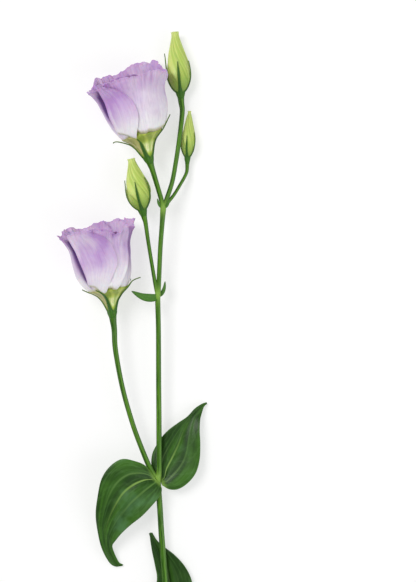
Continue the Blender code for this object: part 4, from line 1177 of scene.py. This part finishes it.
class Nodes:
    """Places the nodes of a material or a node group and links them."""

    def __init__(self, tree):
        self.tree = tree

    def place(self, kind, inputs=None, **options):
        """Adds a node, sets its options and fills its inputs with values or links."""
        node = self.tree.nodes.new(kind)
        for key, value in options.items():
            setattr(node, key, value)
        for key, value in (inputs or {}).items():
            if isinstance(value, bpy.types.NodeSocket):
                self.tree.links.new(value, node.inputs[key])
            else:
                node.inputs[key].default_value = value
        return node

    def where(self):
        """The place on the object in metres."""
        return self.place("ShaderNodeTexCoord").outputs["Object"]

    def noise(self, **inputs):
        """Cloudy noise with the given inputs."""
        return self.place("ShaderNodeTexNoise", inputs)

    def maths(self, operation, first, second=0.5, clamp=False):
        """One step of arithmetic on a value."""
        node = self.place("ShaderNodeMath", {0: first, 1: second}, operation=operation, use_clamp=clamp)
        return node.outputs[0]

    def plus(self, first, second, clamp=False):
        """The sum of two values."""
        return self.maths("ADD", first, second, clamp)

    def less(self, first, second=0.5):
        """The first value less the second."""
        return self.maths("SUBTRACT", first, second)

    def times(self, first, second, clamp=False):
        """The product of two values."""
        return self.maths("MULTIPLY", first, second, clamp)

    def stretch(self, value, low, high, to_low=0.0, to_high=1.0):
        """Maps a value smoothly from one range to another."""
        limits = {0: value, 1: low, 2: high, 3: to_low, 4: to_high}
        return self.place("ShaderNodeMapRange", limits, interpolation_type="SMOOTHSTEP").outputs[0]

    def mixed(self, share, first, second):
        """A mix of two colours, each of them a list of numbers or a socket."""
        colours = []
        for colour in (first, second):
            colours.append(colour if isinstance(colour, bpy.types.NodeSocket) else (*colour[:3], 1.0))
        inputs = {0: share, 6: colours[0], 7: colours[1]}
        return self.place("ShaderNodeMix", inputs, data_type="RGBA", clamp_factor=True).outputs[2]


class Finish(Nodes):
    """A material in the making: its shader and the colour that is built up for it."""

    def __init__(self, name, **numbers):
        self.material = bpy.data.materials.new(name)
        self.material.use_nodes = True
        super().__init__(self.material.node_tree)
        self.shader = self.tree.nodes["Principled BSDF"]
        self.colour = None
        for key, value in numbers.items():
            self.shader.inputs[key.replace("_", " ")].default_value = value

    def tint(self, share, colour):
        """Lays another colour over the present one, as strongly as share says."""
        self.colour = self.mixed(share, self.colour, colour)

    def painted(self, name, share=None):
        """A value painted on the mesh, or a share of it."""
        value = self.place("ShaderNodeAttribute", attribute_name=name).outputs["Fac"]
        return value if share is None else self.times(value, share)

    def grain(self):
        """The place on the piece as a vector: across or round it, and along it."""
        return self.place("ShaderNodeAttribute", attribute_name="grain").outputs["Vector"]

    def group(self, maker, **inputs):
        """A shared node group with this material's own values."""
        return self.place("ShaderNodeGroup", inputs, node_tree=shared_group(maker)).outputs

    def fibres(self, spread, fineness):
        """Coarse and fine streaks along the grain."""
        streaks = self.group(fibres_group, Grain=self.grain(), Stretch=spread, Fineness=fineness)
        return streaks["Coarse"], streaks["Fine"]

    def mottle(self, size, detail=3.0):
        """Soft clouds."""
        return self.group(mottle_group, Size=size, Detail=detail)["Value"]

    def cells(self, size):
        """The pebbled skin of plant tissue."""
        return self.group(cell_group, Size=size)["Height"]

    def done(self, roughness=None, relief=None, depth=0.0, strength=1.0):
        """Links colour, roughness and relief to the shader and gives the material."""
        links = self.tree.links
        links.new(self.colour, self.shader.inputs["Base Color"])
        if roughness is not None:
            links.new(roughness, self.shader.inputs["Roughness"])
        if relief is not None:
            bump = self.place("ShaderNodeBump", {"Height": relief, "Distance": depth, "Strength": strength})
            links.new(bump.outputs[0], self.shader.inputs["Normal"])
        return self.material


def new_group(name, inputs, outputs):
    """A shader node group with named inputs and outputs."""
    tree = bpy.data.node_groups.new(name, "ShaderNodeTree")
    for label, kind, default in inputs:
        socket = tree.interface.new_socket(label, in_out="INPUT", socket_type=kind)
        socket.default_value = default
    for label in outputs:
        tree.interface.new_socket(label, in_out="OUTPUT", socket_type="NodeSocketFloat")
    given = tree.nodes.new("NodeGroupInput").outputs
    result = tree.nodes.new("NodeGroupOutput").inputs
    return Nodes(tree), given, result


def fibres_group():
    """Long fine streaks that follow the grain, coarse and fine together."""
    inputs = (
        ("Grain", "NodeSocketVector", (0.0, 0.0, 0.0)),
        ("Stretch", "NodeSocketVector", (20.0, 2.0, 1.0)),
        ("Fineness", "NodeSocketFloat", 2.4),
    )
    nodes, given, result = new_group("Long fibres", inputs, ("Coarse", "Fine"))
    stretched = {0: given["Grain"], 1: given["Stretch"]}
    spread = nodes.place("ShaderNodeVectorMath", stretched, operation="MULTIPLY")
    bend = nodes.noise(Vector=given["Grain"], Scale=2.2, Detail=1.0)
    bending = {0: bend.outputs["Color"], 1: (1.1, 0.2, 0.0), 2: spread.outputs[0]}
    bent = nodes.place("ShaderNodeVectorMath", bending, operation="MULTIPLY_ADD").outputs[0]
    for label, scale, roughness in (("Coarse", 1.0, 0.55), ("Fine", given["Fineness"], 0.6)):
        streaks = nodes.noise(Vector=bent, Scale=scale, Detail=2.0, Roughness=roughness)
        nodes.tree.links.new(streaks.outputs[0], result[label])
    return nodes.tree


def mottle_group():
    """Soft cloudy variation in space."""
    inputs = (("Size", "NodeSocketFloat", 60.0), ("Detail", "NodeSocketFloat", 3.0))
    nodes, given, result = new_group("Soft mottling", inputs, ("Value",))
    cloud = nodes.noise(Vector=nodes.where(), Scale=given["Size"], Detail=given["Detail"], Roughness=0.55)
    nodes.tree.links.new(cloud.outputs[0], result["Value"])
    return nodes.tree


def cell_group():
    """The fine pebbled skin of plant tissue, as a height."""
    nodes, given, result = new_group("Cell skin", (("Size", "NodeSocketFloat", 1800.0),), ("Height",))
    inputs = {"Vector": nodes.where(), "Scale": given["Size"]}
    cells = nodes.place("ShaderNodeTexVoronoi", inputs, feature="SMOOTH_F1")
    nodes.tree.links.new(cells.outputs["Distance"], result["Height"])
    return nodes.tree


SHARED_GROUPS = {}


def shared_group(maker):
    """The node group of a maker, built the first time that it is asked for."""
    if maker not in SHARED_GROUPS:
        SHARED_GROUPS[maker] = maker()
    return SHARED_GROUPS[maker]


def petal_material(settings):
    """Satin lilac petals that fade to white below, with fine veins, streaks, a few specks, painted
    highlights and painted shade.
    """
    look = Finish(
        "Lilac petal", Sheen_Weight=0.12, Sheen_Roughness=0.4, Subsurface_Weight=0.12,
        Subsurface_Scale=0.002,
    )
    coarse, fine = look.fibres((5.5, 0.8, 3.1), 5.0)
    cloud = look.mottle(75.0)
    lilac = look.painted("lilac")
    uneven = look.plus(look.times(look.less(coarse), 0.55), look.times(look.less(cloud), 0.75))
    strength = look.plus(lilac, uneven, clamp=True)
    strength = look.times(strength, look.stretch(lilac, -0.3, 0.25, 0.35, 1.0), clamp=True)
    look.colour = look.mixed(strength, settings.petal_white, settings.petal_lilac)
    # Painted shade: dark violet in the valleys between petals and low inside the bloom
    look.tint(look.painted("violet_shade"), settings.petal_violet)
    look.tint(look.times(look.stretch(fine, 0.52, 0.66), 0.11), settings.petal_violet)
    speck = look.place("ShaderNodeTexVoronoi", {"Vector": look.where(), "Scale": 62.0})
    look.tint(look.stretch(speck.outputs["Distance"], 0.045, 0.10, 0.55, 0.0), linear(120, 70, 160))
    look.tint(look.painted("rim", 0.30), linear(172, 128, 205))
    flames = look.less(look.painted("green"), look.times(coarse, 0.45))
    look.tint(look.stretch(flames, -0.12, 0.80, 0.0, 0.90), linear(168, 166, 88))
    relief = look.plus(fine, look.times(look.cells(1500.0), 0.10))
    return look.done(look.stretch(cloud, 0.3, 0.7, 0.48, 0.62), relief, 0.00028, 0.28)


def tube_material():
    """Yellow-green tube with bright ribs, a pale band that is partly a painted highlight, an olive edge,
    and a beige sector that is partly painted shade.
    """
    look = Finish("Corolla tube", Roughness=0.42, Subsurface_Weight=0.1, Subsurface_Scale=0.002)
    coarse, fine = look.fibres((2.4, 2.4, 0.5), 3.6)
    ribs = look.stretch(coarse, 0.36, 0.62)
    level = look.painted("height")
    look.colour = look.mixed(ribs, linear(148, 184, 40), linear(190, 214, 66))
    # Pale band round the middle of the tube, weaker along five lines and between the ribs: partly the
    # tube's own pale colour, partly a painted highlight
    pale = look.times(look.stretch(level, 0.18, 0.34), look.stretch(level, 0.72, 0.50))
    pale = look.times(pale, look.stretch(look.painted("line"), 0.0, 1.0, 1.0, 0.35))
    pale = look.times(pale, look.stretch(ribs, 0.0, 1.0, 0.35, 0.95))
    look.tint(pale, linear(236, 240, 184))
    look.tint(look.stretch(level, 0.24, 0.06, 0.0, 0.8), linear(112, 164, 28))
    olive = look.mixed(ribs, linear(134, 154, 42), linear(178, 190, 82))
    look.tint(look.stretch(level, 0.52, 0.76, 0.0, 0.9), olive)
    beige = look.mixed(ribs, linear(146, 144, 74), linear(184, 178, 118))
    # Beige sector, darkened as painted shade over the membrane's own beige, stronger higher up
    look.tint(look.times(look.painted("beige_and_shade"), look.stretch(level, 0.10, 0.30, 0.2, 0.85)), beige)
    look.tint(look.stretch(fine, 0.50, 0.66, 0.0, 0.2), linear(116, 136, 40))
    return look.done(None, coarse, 0.0005, 0.4)


def sepal_material(settings):
    """Dark green keels with pale thin margins."""
    look = Finish("Sepal", Roughness=0.45, Specular_IOR_Level=0.3)
    coarse, fine = look.fibres((5.0, 3.0, 1.0), 3.0)
    look.colour = look.mixed(look.stretch(coarse, 0.35, 0.65), linear(26, 66, 12), settings.sepal_green)
    look.tint(look.painted("foot", 0.5), linear(62, 116, 16))
    look.tint(look.painted("margin", 0.80), linear(150, 164, 74))
    return look.done(None, fine, 0.0003, 0.5)


def pistil_material():
    """Pale green ovary, yellow-green stigma and yellow anthers."""
    look = Finish("Pistil", Subsurface_Weight=0.1, Subsurface_Scale=0.001)
    cloud = look.mottle(900.0)
    look.colour = look.mixed(cloud, linear(176, 196, 110), linear(206, 216, 146))
    look.tint(look.painted("stigma"), look.mixed(cloud, linear(128, 160, 44), linear(176, 196, 74)))
    look.tint(look.painted("pollen"), look.mixed(cloud, linear(206, 170, 52), linear(238, 214, 112)))
    return look.done(look.stretch(cloud, 0.3, 0.7, 0.45, 0.75), look.cells(2600.0), 0.0002, 0.5)


def bud_material(settings):
    """Pale yellow-green bud, greener at its foot and in the folds, with streaks that wind up it."""
    look = Finish(
        "Bud", Sheen_Weight=0.08, Sheen_Roughness=0.4, Subsurface_Weight=0.1, Subsurface_Scale=0.002,
    )
    coarse, fine = look.fibres((3.4, 3.4, 1.0), 3.4)
    streak = look.stretch(coarse, 0.25, 0.68)
    look.colour = look.mixed(streak, settings.bud_green, settings.bud_pale)
    look.tint(look.times(look.stretch(fine, 0.50, 0.66), 0.12), linear(156, 186, 76))
    look.tint(look.painted("fold", 0.50), linear(138, 168, 62))
    look.tint(look.painted("foot", 0.85), linear(104, 150, 26))
    look.tint(look.painted("tip", 0.50), linear(218, 230, 144))
    return look.done(look.stretch(streak, 0.0, 1.0, 0.50, 0.40), fine, 0.0005, 0.6)


def leaf_material(settings):
    """Waxy leaf with three main veins, a net of fine ones, a pale margin, a duller underside and painted
    bluish sheen.
    """
    look = Finish("Leaf", Specular_IOR_Level=0.22)
    parts = look.place("ShaderNodeSeparateXYZ", {0: look.grain()})
    across = look.maths("ABSOLUTE", parts.outputs[0])
    along = parts.outputs[1]
    arch = look.maths("SINE", look.maths("MULTIPLY_ADD", along, 2.89))
    arch = look.maths("POWER", look.maths("MAXIMUM", arch, 0.001), 0.5)
    to_side = look.maths("ABSOLUTE", look.less(across, look.times(arch, 0.42)))
    fading = look.stretch(along, 0.10, 0.62, 1.0, 0.10)
    middle_vein = look.times(look.stretch(across, 0.010, 0.060, 1.0, 0.0), fading)
    side_vein = look.times(look.stretch(to_side, 0.005, 0.060, 1.0, 0.0), fading)
    slant = look.plus(look.times(along, 46.0), look.times(across, -13.0))
    waves = look.maths("SINE", look.plus(slant, look.times(look.mottle(170.0, 2.0), 6.0)))
    net = look.stretch(waves, 0.70, 1.0)
    cloud = look.mottle(48.0)
    coarse, fine = look.fibres((3.2, 1.1, 1.0), 4.0)
    tone = look.plus(look.times(coarse, 0.9), look.times(cloud, 0.7))
    look.colour = look.mixed(look.stretch(tone, 0.58, 1.02), settings.leaf_dark, settings.leaf_light)
    look.tint(look.stretch(fine, 0.48, 0.70, 0.0, 0.22), linear(94, 138, 78))
    look.tint(look.times(net, 0.07), linear(108, 150, 88))
    # Painted sheen: soft bluish patches that stand for the waxy leaf's reflection of the sky
    look.tint(look.stretch(cloud, 0.52, 0.74, 0.0, 0.36), linear(88, 130, 98))
    look.tint(look.stretch(to_side, 0.04, 0.22, 0.30, 0.0), linear(30, 66, 22))
    look.tint(look.painted("shade"), linear(22, 48, 14))
    look.tint(look.times(middle_vein, 0.72), linear(150, 186, 92))
    look.tint(look.times(side_vein, 0.34), linear(128, 168, 88))
    look.tint(look.stretch(across, 0.965, 1.0, 0.0, 0.4), linear(120, 158, 92))
    look.tint(look.stretch(along, 0.10, 0.0, 0.0, 0.7), linear(140, 180, 78))
    look.tint(look.painted("under", 0.45), linear(112, 146, 104))
    relief = look.plus(look.times(net, -0.08), look.times(cloud, 0.8))
    relief = look.plus(relief, look.times(look.cells(1100.0), 0.12))
    return look.done(look.stretch(cloud, 0.3, 0.7, 0.36, 0.52), relief, 0.0007, 0.5)


def stem_material(settings):
    """Fresh green stem with fine ribs, paler at its nodes and pith-white where it is cut, with painted
    shade along its flanks and a painted highlight down one side.
    """
    look = Finish("Stem", Specular_IOR_Level=0.22)
    coarse, fine = look.fibres((2.2, 2.2, 0.6), 3.2)
    look.colour = look.mixed(look.stretch(coarse, 0.34, 0.66), settings.stem_dark, settings.stem_light)
    look.tint(look.times(look.stretch(fine, 0.52, 0.68), 0.30), linear(128, 176, 70))
    look.tint(look.stretch(look.mottle(110.0), 0.50, 0.75, 0.0, 0.25), linear(66, 118, 44))
    # Painted shade along both flanks of every stalk and a painted highlight down one side, from the place
    # round it
    side = look.place("ShaderNodeSeparateXYZ", {0: look.grain()}).outputs[0]
    look.tint(look.stretch(look.maths("ABSOLUTE", side), 0.45, 1.0, 0.0, 0.62), linear(24, 62, 6))
    look.tint(look.stretch(side, 0.05, 0.42, 0.0, 0.30), linear(118, 160, 88))
    look.tint(look.painted("node", 0.60), linear(150, 190, 80))
    look.tint(look.painted("leafy", 0.70), linear(76, 124, 50))
    look.tint(look.painted("cut"), linear(206, 218, 168))
    return look.done(look.stretch(fine, 0.3, 0.7, 0.34, 0.46), fine, 0.0004, 0.6)


def floor_material(settings):
    """Plain pale sheet that is softly lit from below."""
    look = Finish("Pale floor", Roughness=0.9, Specular_IOR_Level=0.1, Emission_Color=(1.0, 1.0, 1.0, 1.0))
    look.shader.inputs["Emission Strength"].default_value = settings.floor_glow
    pale = settings.floor_colour[:3]
    look.colour = look.mixed(look.mottle(3.0, 2.0), pale, [channel * 0.985 for channel in pale])
    return look.done()


def colour_property(label, description, red, green, blue):
    """A colour that the user may change, given as picture colours."""
    return bpy.props.FloatVectorProperty(
        name=label, description=description, subtype="COLOR", size=4, min=0.0, max=1.0,
        default=(*linear(red, green, blue), 1.0),
    )


class LisianthusBloomSettings(bpy.types.PropertyGroup):
    """Sizes and colours of the open blooms and the buds."""

    petal_thickness: bpy.props.FloatProperty(
        name="Petal thickness", description="Thickness of a petal in its middle",
        default=0.0004, min=0.0002, max=0.0007, unit="LENGTH",
    )
    ruffle_size: bpy.props.FloatProperty(
        name="Ruffle size", description="How far a petal's edge swings in and out",
        default=0.0010, min=0.0, max=0.003, unit="LENGTH",
    )
    petal_white: colour_property("Petal foot", "Colour low on the petals", 240, 234, 238)
    petal_lilac: colour_property("Petal lilac", "Main colour of the petals", 180, 139, 200)
    # The violet of the petals' veins, also used for the painted shade between petals and inside the bloom
    petal_violet: colour_property("Petal violet", "Colour deep in the bloom and in its gaps", 80, 38, 110)
    bud_pale: colour_property("Bud light", "Light colour of the buds", 208, 222, 124)
    bud_green: colour_property("Bud green", "Darker colour of the buds", 164, 194, 72)
    sepal_green: colour_property("Sepal green", "Colour of the sepals", 66, 120, 28)


class LisianthusLeafSettings(bpy.types.PropertyGroup):
    """Colours and waviness of the leaves and stems."""

    edge_wave: bpy.props.FloatProperty(
        name="Edge wave", description="How far a leaf's edge waves up and down",
        default=0.0006, min=0.0, max=0.002, unit="LENGTH",
    )
    leaf_dark: colour_property("Leaf dark", "Dark colour of the leaves", 26, 60, 8)
    leaf_light: colour_property("Leaf light", "Light colour of the leaves", 60, 106, 26)
    stem_dark: colour_property("Stem dark", "Dark colour of the stems", 30, 74, 2)
    stem_light: colour_property("Stem light", "Light colour of the stems", 82, 134, 16)


class LisianthusStageSettings(bpy.types.PropertyGroup):
    """Floor, light and camera."""

    floor_colour: colour_property("Floor", "Colour of the floor", 180, 180, 180)
    floor_glow: bpy.props.FloatProperty(
        name="Floor glow", description="Soft light that comes up through the floor", default=0.55, min=0.0
    )
    key_power: bpy.props.FloatProperty(
        name="Main light", description="Power of the large soft light", default=11.0, min=0.0, unit="POWER"
    )
    sky_strength: bpy.props.FloatProperty(
        name="Sky light", description="Strength of the even light from all round", default=0.50, min=0.0
    )
    lens: bpy.props.FloatProperty(
        name="Lens", description="Focal length of the camera", default=85.0, min=20.0, unit="CAMERA"
    )


# Open blooms: name, profile, outer petals, sepals, turn and height of the inner petals, and seed
BLOOMS = (
    ("bloom_left", BLOOM_LEFT_PROFILE, BLOOM_LEFT_OUTER, BLOOM_LEFT_SEPALS, 75.0, 65.5, 11),
    ("bloom_upper", BLOOM_UPPER_PROFILE, BLOOM_UPPER_OUTER, BLOOM_UPPER_SEPALS, 95.0, 66.5, 23),
)

# Buds: name, profile, sepals, radius of the foot, width of the sepals against a bloom's, turns of the folds
# and seed
BUDS = (
    ("bud_low", BUD_LOW_PROFILE, BUD_LOW_SEPALS, 2.9, 0.8, 0.36, 31),
    ("bud_tall", BUD_TALL_PROFILE, BUD_TALL_SEPALS, 2.9, 0.85, 0.36, 37),
    ("bud_small", BUD_SMALL_PROFILE, BUD_SMALL_SEPALS, 1.9, 0.6, 0.30, 41),
)


# Cups of the blooms: radius of the foot and width of the sepals
BLOOM_FOOT_RADIUS = 3.2
BLOOM_SEPAL_WIDTH = 1.0

# Leaves: name, stations, depth of the fold along the midrib, and how much darker it is
LEAVES = (
    ("leaf_left", LEAF_LEFT, 0.06, 0.0),
    ("leaf_right", LEAF_RIGHT, 0.05, 0.0),
    ("leaf_low_back", LEAF_LOW_BACK, 0.04, 0.30),
    ("leaf_low_side", LEAF_LOW_SIDE, 0.06, 0.0),
)
LEAF_SEED_STEP = 3.7

# The stage in metres: the floor, the point that the lights look at, the point under the camera, and the
# height where the view's longer side has the given length. The sensor's width is in mm.
FLOOR_SIDES = 64
FLOOR_RADIUS = 18.0
FLOOR_CENTRE_Y = 0.25
LIGHT_AIM = (-0.01, 0.25, 0.0)
CAMERA_OVER = (0.0285, 0.29175)
VIEW_HEIGHT = 0.02
VIEW_LENGTH = 0.4365
SENSOR_WIDTH = 36.0

# Lights: name, place, width, share of the set power, and colour
LIGHTS = (
    ("main_light", (-0.55, 0.75, 1.25), 0.7, 1.0, (1.0, 0.99, 0.97)),
    ("fill_light", (0.95, -0.25, 0.85), 1.2, 0.45, (0.97, 0.98, 1.0)),
)


def require(made):
    """Stops with an error if nothing was made."""
    if not made or not all(piece.data for piece in made):
        raise RuntimeError("a piece of the lisianthus could not be built")
    return {"FINISHED"}


class LISIANTHUS_OT_petals(bpy.types.Operator):
    """Build the petals and tubes of both open blooms"""

    bl_idname = "lisianthus.petals"
    bl_label = "Build petals"

    def execute(self, context):
        settings = context.scene.lisianthus_bloom
        petal = petal_material(settings)
        tube = tube_material()
        made = []
        for name, profile, petals, sepals, turn, rim, seed in BLOOMS:
            made.append(build_outer_petals(name, profile, petals, seed, settings, petal))
            made.append(build_inner_petals(name, turn, rim, seed, settings, petal))
            made.append(build_tube(name, profile, sepals, tube))
        return require(made)


class LISIANTHUS_OT_calyxes(bpy.types.Operator):
    """Build the cups and sepals of the blooms and buds"""

    bl_idname = "lisianthus.calyxes"
    bl_label = "Build calyxes"

    def execute(self, context):
        green = sepal_material(context.scene.lisianthus_bloom)
        made = []
        for name, profile, _, sepals, _, _, _ in BLOOMS:
            made.append(build_calyx(name, profile, sepals, BLOOM_FOOT_RADIUS, BLOOM_SEPAL_WIDTH, green))
        for name, profile, sepals, foot_radius, width, _, _ in BUDS:
            made.append(build_calyx(name, profile, sepals, foot_radius, width, green))
        return require(made)


class LISIANTHUS_OT_pistils(bpy.types.Operator):
    """Build the pistil and stamens inside each open bloom"""

    bl_idname = "lisianthus.pistils"
    bl_label = "Build pistils"

    def execute(self, context):
        green = pistil_material()
        return require([build_pistil(bloom[0], green) for bloom in BLOOMS])


class LISIANTHUS_OT_buds(bpy.types.Operator):
    """Build the three closed buds"""

    bl_idname = "lisianthus.buds"
    bl_label = "Build buds"

    def execute(self, context):
        pale = bud_material(context.scene.lisianthus_bloom)
        made = []
        for name, profile, _, _, _, turns, seed in BUDS:
            made.append(build_bud(name, profile, turns, seed, pale))
        return require(made)


class LISIANTHUS_OT_leaves(bpy.types.Operator):
    """Build the four leaves"""

    bl_idname = "lisianthus.leaves"
    bl_label = "Build leaves"

    def execute(self, context):
        settings = context.scene.lisianthus_leaf
        green = leaf_material(settings)
        wave = settings.edge_wave / METRES_PER_MM
        made = []
        for number, (name, stations, fold, shade) in enumerate(LEAVES):
            made.append(build_leaf(name, stations, fold, wave, number * LEAF_SEED_STEP, shade, green))
        return require(made)


class LISIANTHUS_OT_stem(bpy.types.Operator):
    """Build the stem with its stalks and bracts"""

    bl_idname = "lisianthus.stem"
    bl_label = "Build stem"

    def execute(self, context):
        return require([build_stem(stem_material(context.scene.lisianthus_leaf))])


def add_light(name, place_at, size, power, colour):
    """A large soft light that looks at the middle of the stem."""
    lamp = bpy.data.lights.new(name, "AREA")
    lamp.shape = "DISK"
    lamp.size = size
    lamp.energy = power
    lamp.color = colour
    stand = bpy.data.objects.new(name, lamp)
    stand.location = place_at
    x, y, z = np.array(LIGHT_AIM) - np.array(place_at)
    stand.rotation_euler = (math.atan2(math.hypot(x, y), -z), 0.0, math.atan2(-x, y))
    bpy.context.scene.collection.objects.link(stand)


class LISIANTHUS_OT_stage(bpy.types.Operator):
    """Build the floor, the lights and the camera"""

    bl_idname = "lisianthus.stage"
    bl_label = "Build stage"

    def execute(self, context):
        scene = context.scene
        settings = scene.lisianthus_stage
        corners = []
        for number in range(FLOOR_SIDES):
            turn = number * 2 * math.pi / FLOOR_SIDES
            aside, ahead = FLOOR_RADIUS * math.cos(turn), FLOOR_RADIUS * math.sin(turn)
            corners.append((aside, FLOOR_CENTRE_Y + ahead, 0.0))
        mesh = bpy.data.meshes.new("floor")
        mesh.from_pydata(corners, [], [tuple(range(FLOOR_SIDES))])
        mesh.materials.append(floor_material(settings))
        floor = bpy.data.objects.new("floor", mesh)
        scene.collection.objects.link(floor)

        sky = bpy.data.worlds.new("Soft sky")
        sky.use_nodes = True
        background = sky.node_tree.nodes["Background"]
        background.inputs["Color"].default_value = (1.0, 1.0, 1.0, 1.0)
        background.inputs["Strength"].default_value = settings.sky_strength
        scene.world = sky
        for name, place_at, size, share, colour in LIGHTS:
            add_light(name, place_at, size, settings.key_power * share, colour)

        lens = bpy.data.cameras.new("camera")
        lens.lens = settings.lens
        lens.sensor_width = SENSOR_WIDTH
        lens.sensor_fit = "AUTO"
        lens.clip_start = 0.05
        lens.clip_end = 60.0
        camera = bpy.data.objects.new("camera", lens)
        camera.location = (*CAMERA_OVER, VIEW_HEIGHT + VIEW_LENGTH * settings.lens / SENSOR_WIDTH)
        scene.collection.objects.link(camera)
        scene.camera = camera
        scene.view_settings.view_transform = "Standard"
        return require([floor, camera])


OPERATORS = (
    LISIANTHUS_OT_stage,
    LISIANTHUS_OT_petals,
    LISIANTHUS_OT_calyxes,
    LISIANTHUS_OT_pistils,
    LISIANTHUS_OT_buds,
    LISIANTHUS_OT_leaves,
    LISIANTHUS_OT_stem,
)


class LISIANTHUS_PT_panel(bpy.types.Panel):
    """Sizes, colours and builders of the lisianthus stem"""

    bl_label = "Lisianthus stem"
    bl_idname = "LISIANTHUS_PT_panel"
    bl_space_type = "VIEW_3D"
    bl_region_type = "UI"
    bl_category = "Lisianthus"

    def draw(self, context):
        layout = self.layout
        for holder, _ in SETTINGS:
            settings = getattr(context.scene, holder)
            box = layout.box()
            for name in settings.__annotations__:
                box.prop(settings, name)
        for operator in OPERATORS:
            layout.operator(operator.bl_idname)


SETTINGS = (
    ("lisianthus_bloom", LisianthusBloomSettings),
    ("lisianthus_leaf", LisianthusLeafSettings),
    ("lisianthus_stage", LisianthusStageSettings),
)


def register():
    """Registers the settings, operators and panel."""
    for name, settings in SETTINGS:
        bpy.utils.register_class(settings)
        setattr(bpy.types.Scene, name, bpy.props.PointerProperty(type=settings))
    for operator in OPERATORS:
        bpy.utils.register_class(operator)
    bpy.utils.register_class(LISIANTHUS_PT_panel)


def unregister():
    """Removes them again."""
    bpy.utils.unregister_class(LISIANTHUS_PT_panel)
    for operator in reversed(OPERATORS):
        bpy.utils.unregister_class(operator)
    for name, settings in reversed(SETTINGS):
        delattr(bpy.types.Scene, name)
        bpy.utils.unregister_class(settings)


def main():
    """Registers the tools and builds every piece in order."""
    register()
    bpy.ops.lisianthus.stage()
    bpy.ops.lisianthus.petals()
    bpy.ops.lisianthus.calyxes()
    bpy.ops.lisianthus.pistils()
    bpy.ops.lisianthus.buds()
    bpy.ops.lisianthus.leaves()
    bpy.ops.lisianthus.stem()


if __name__ == "__main__":
    main()
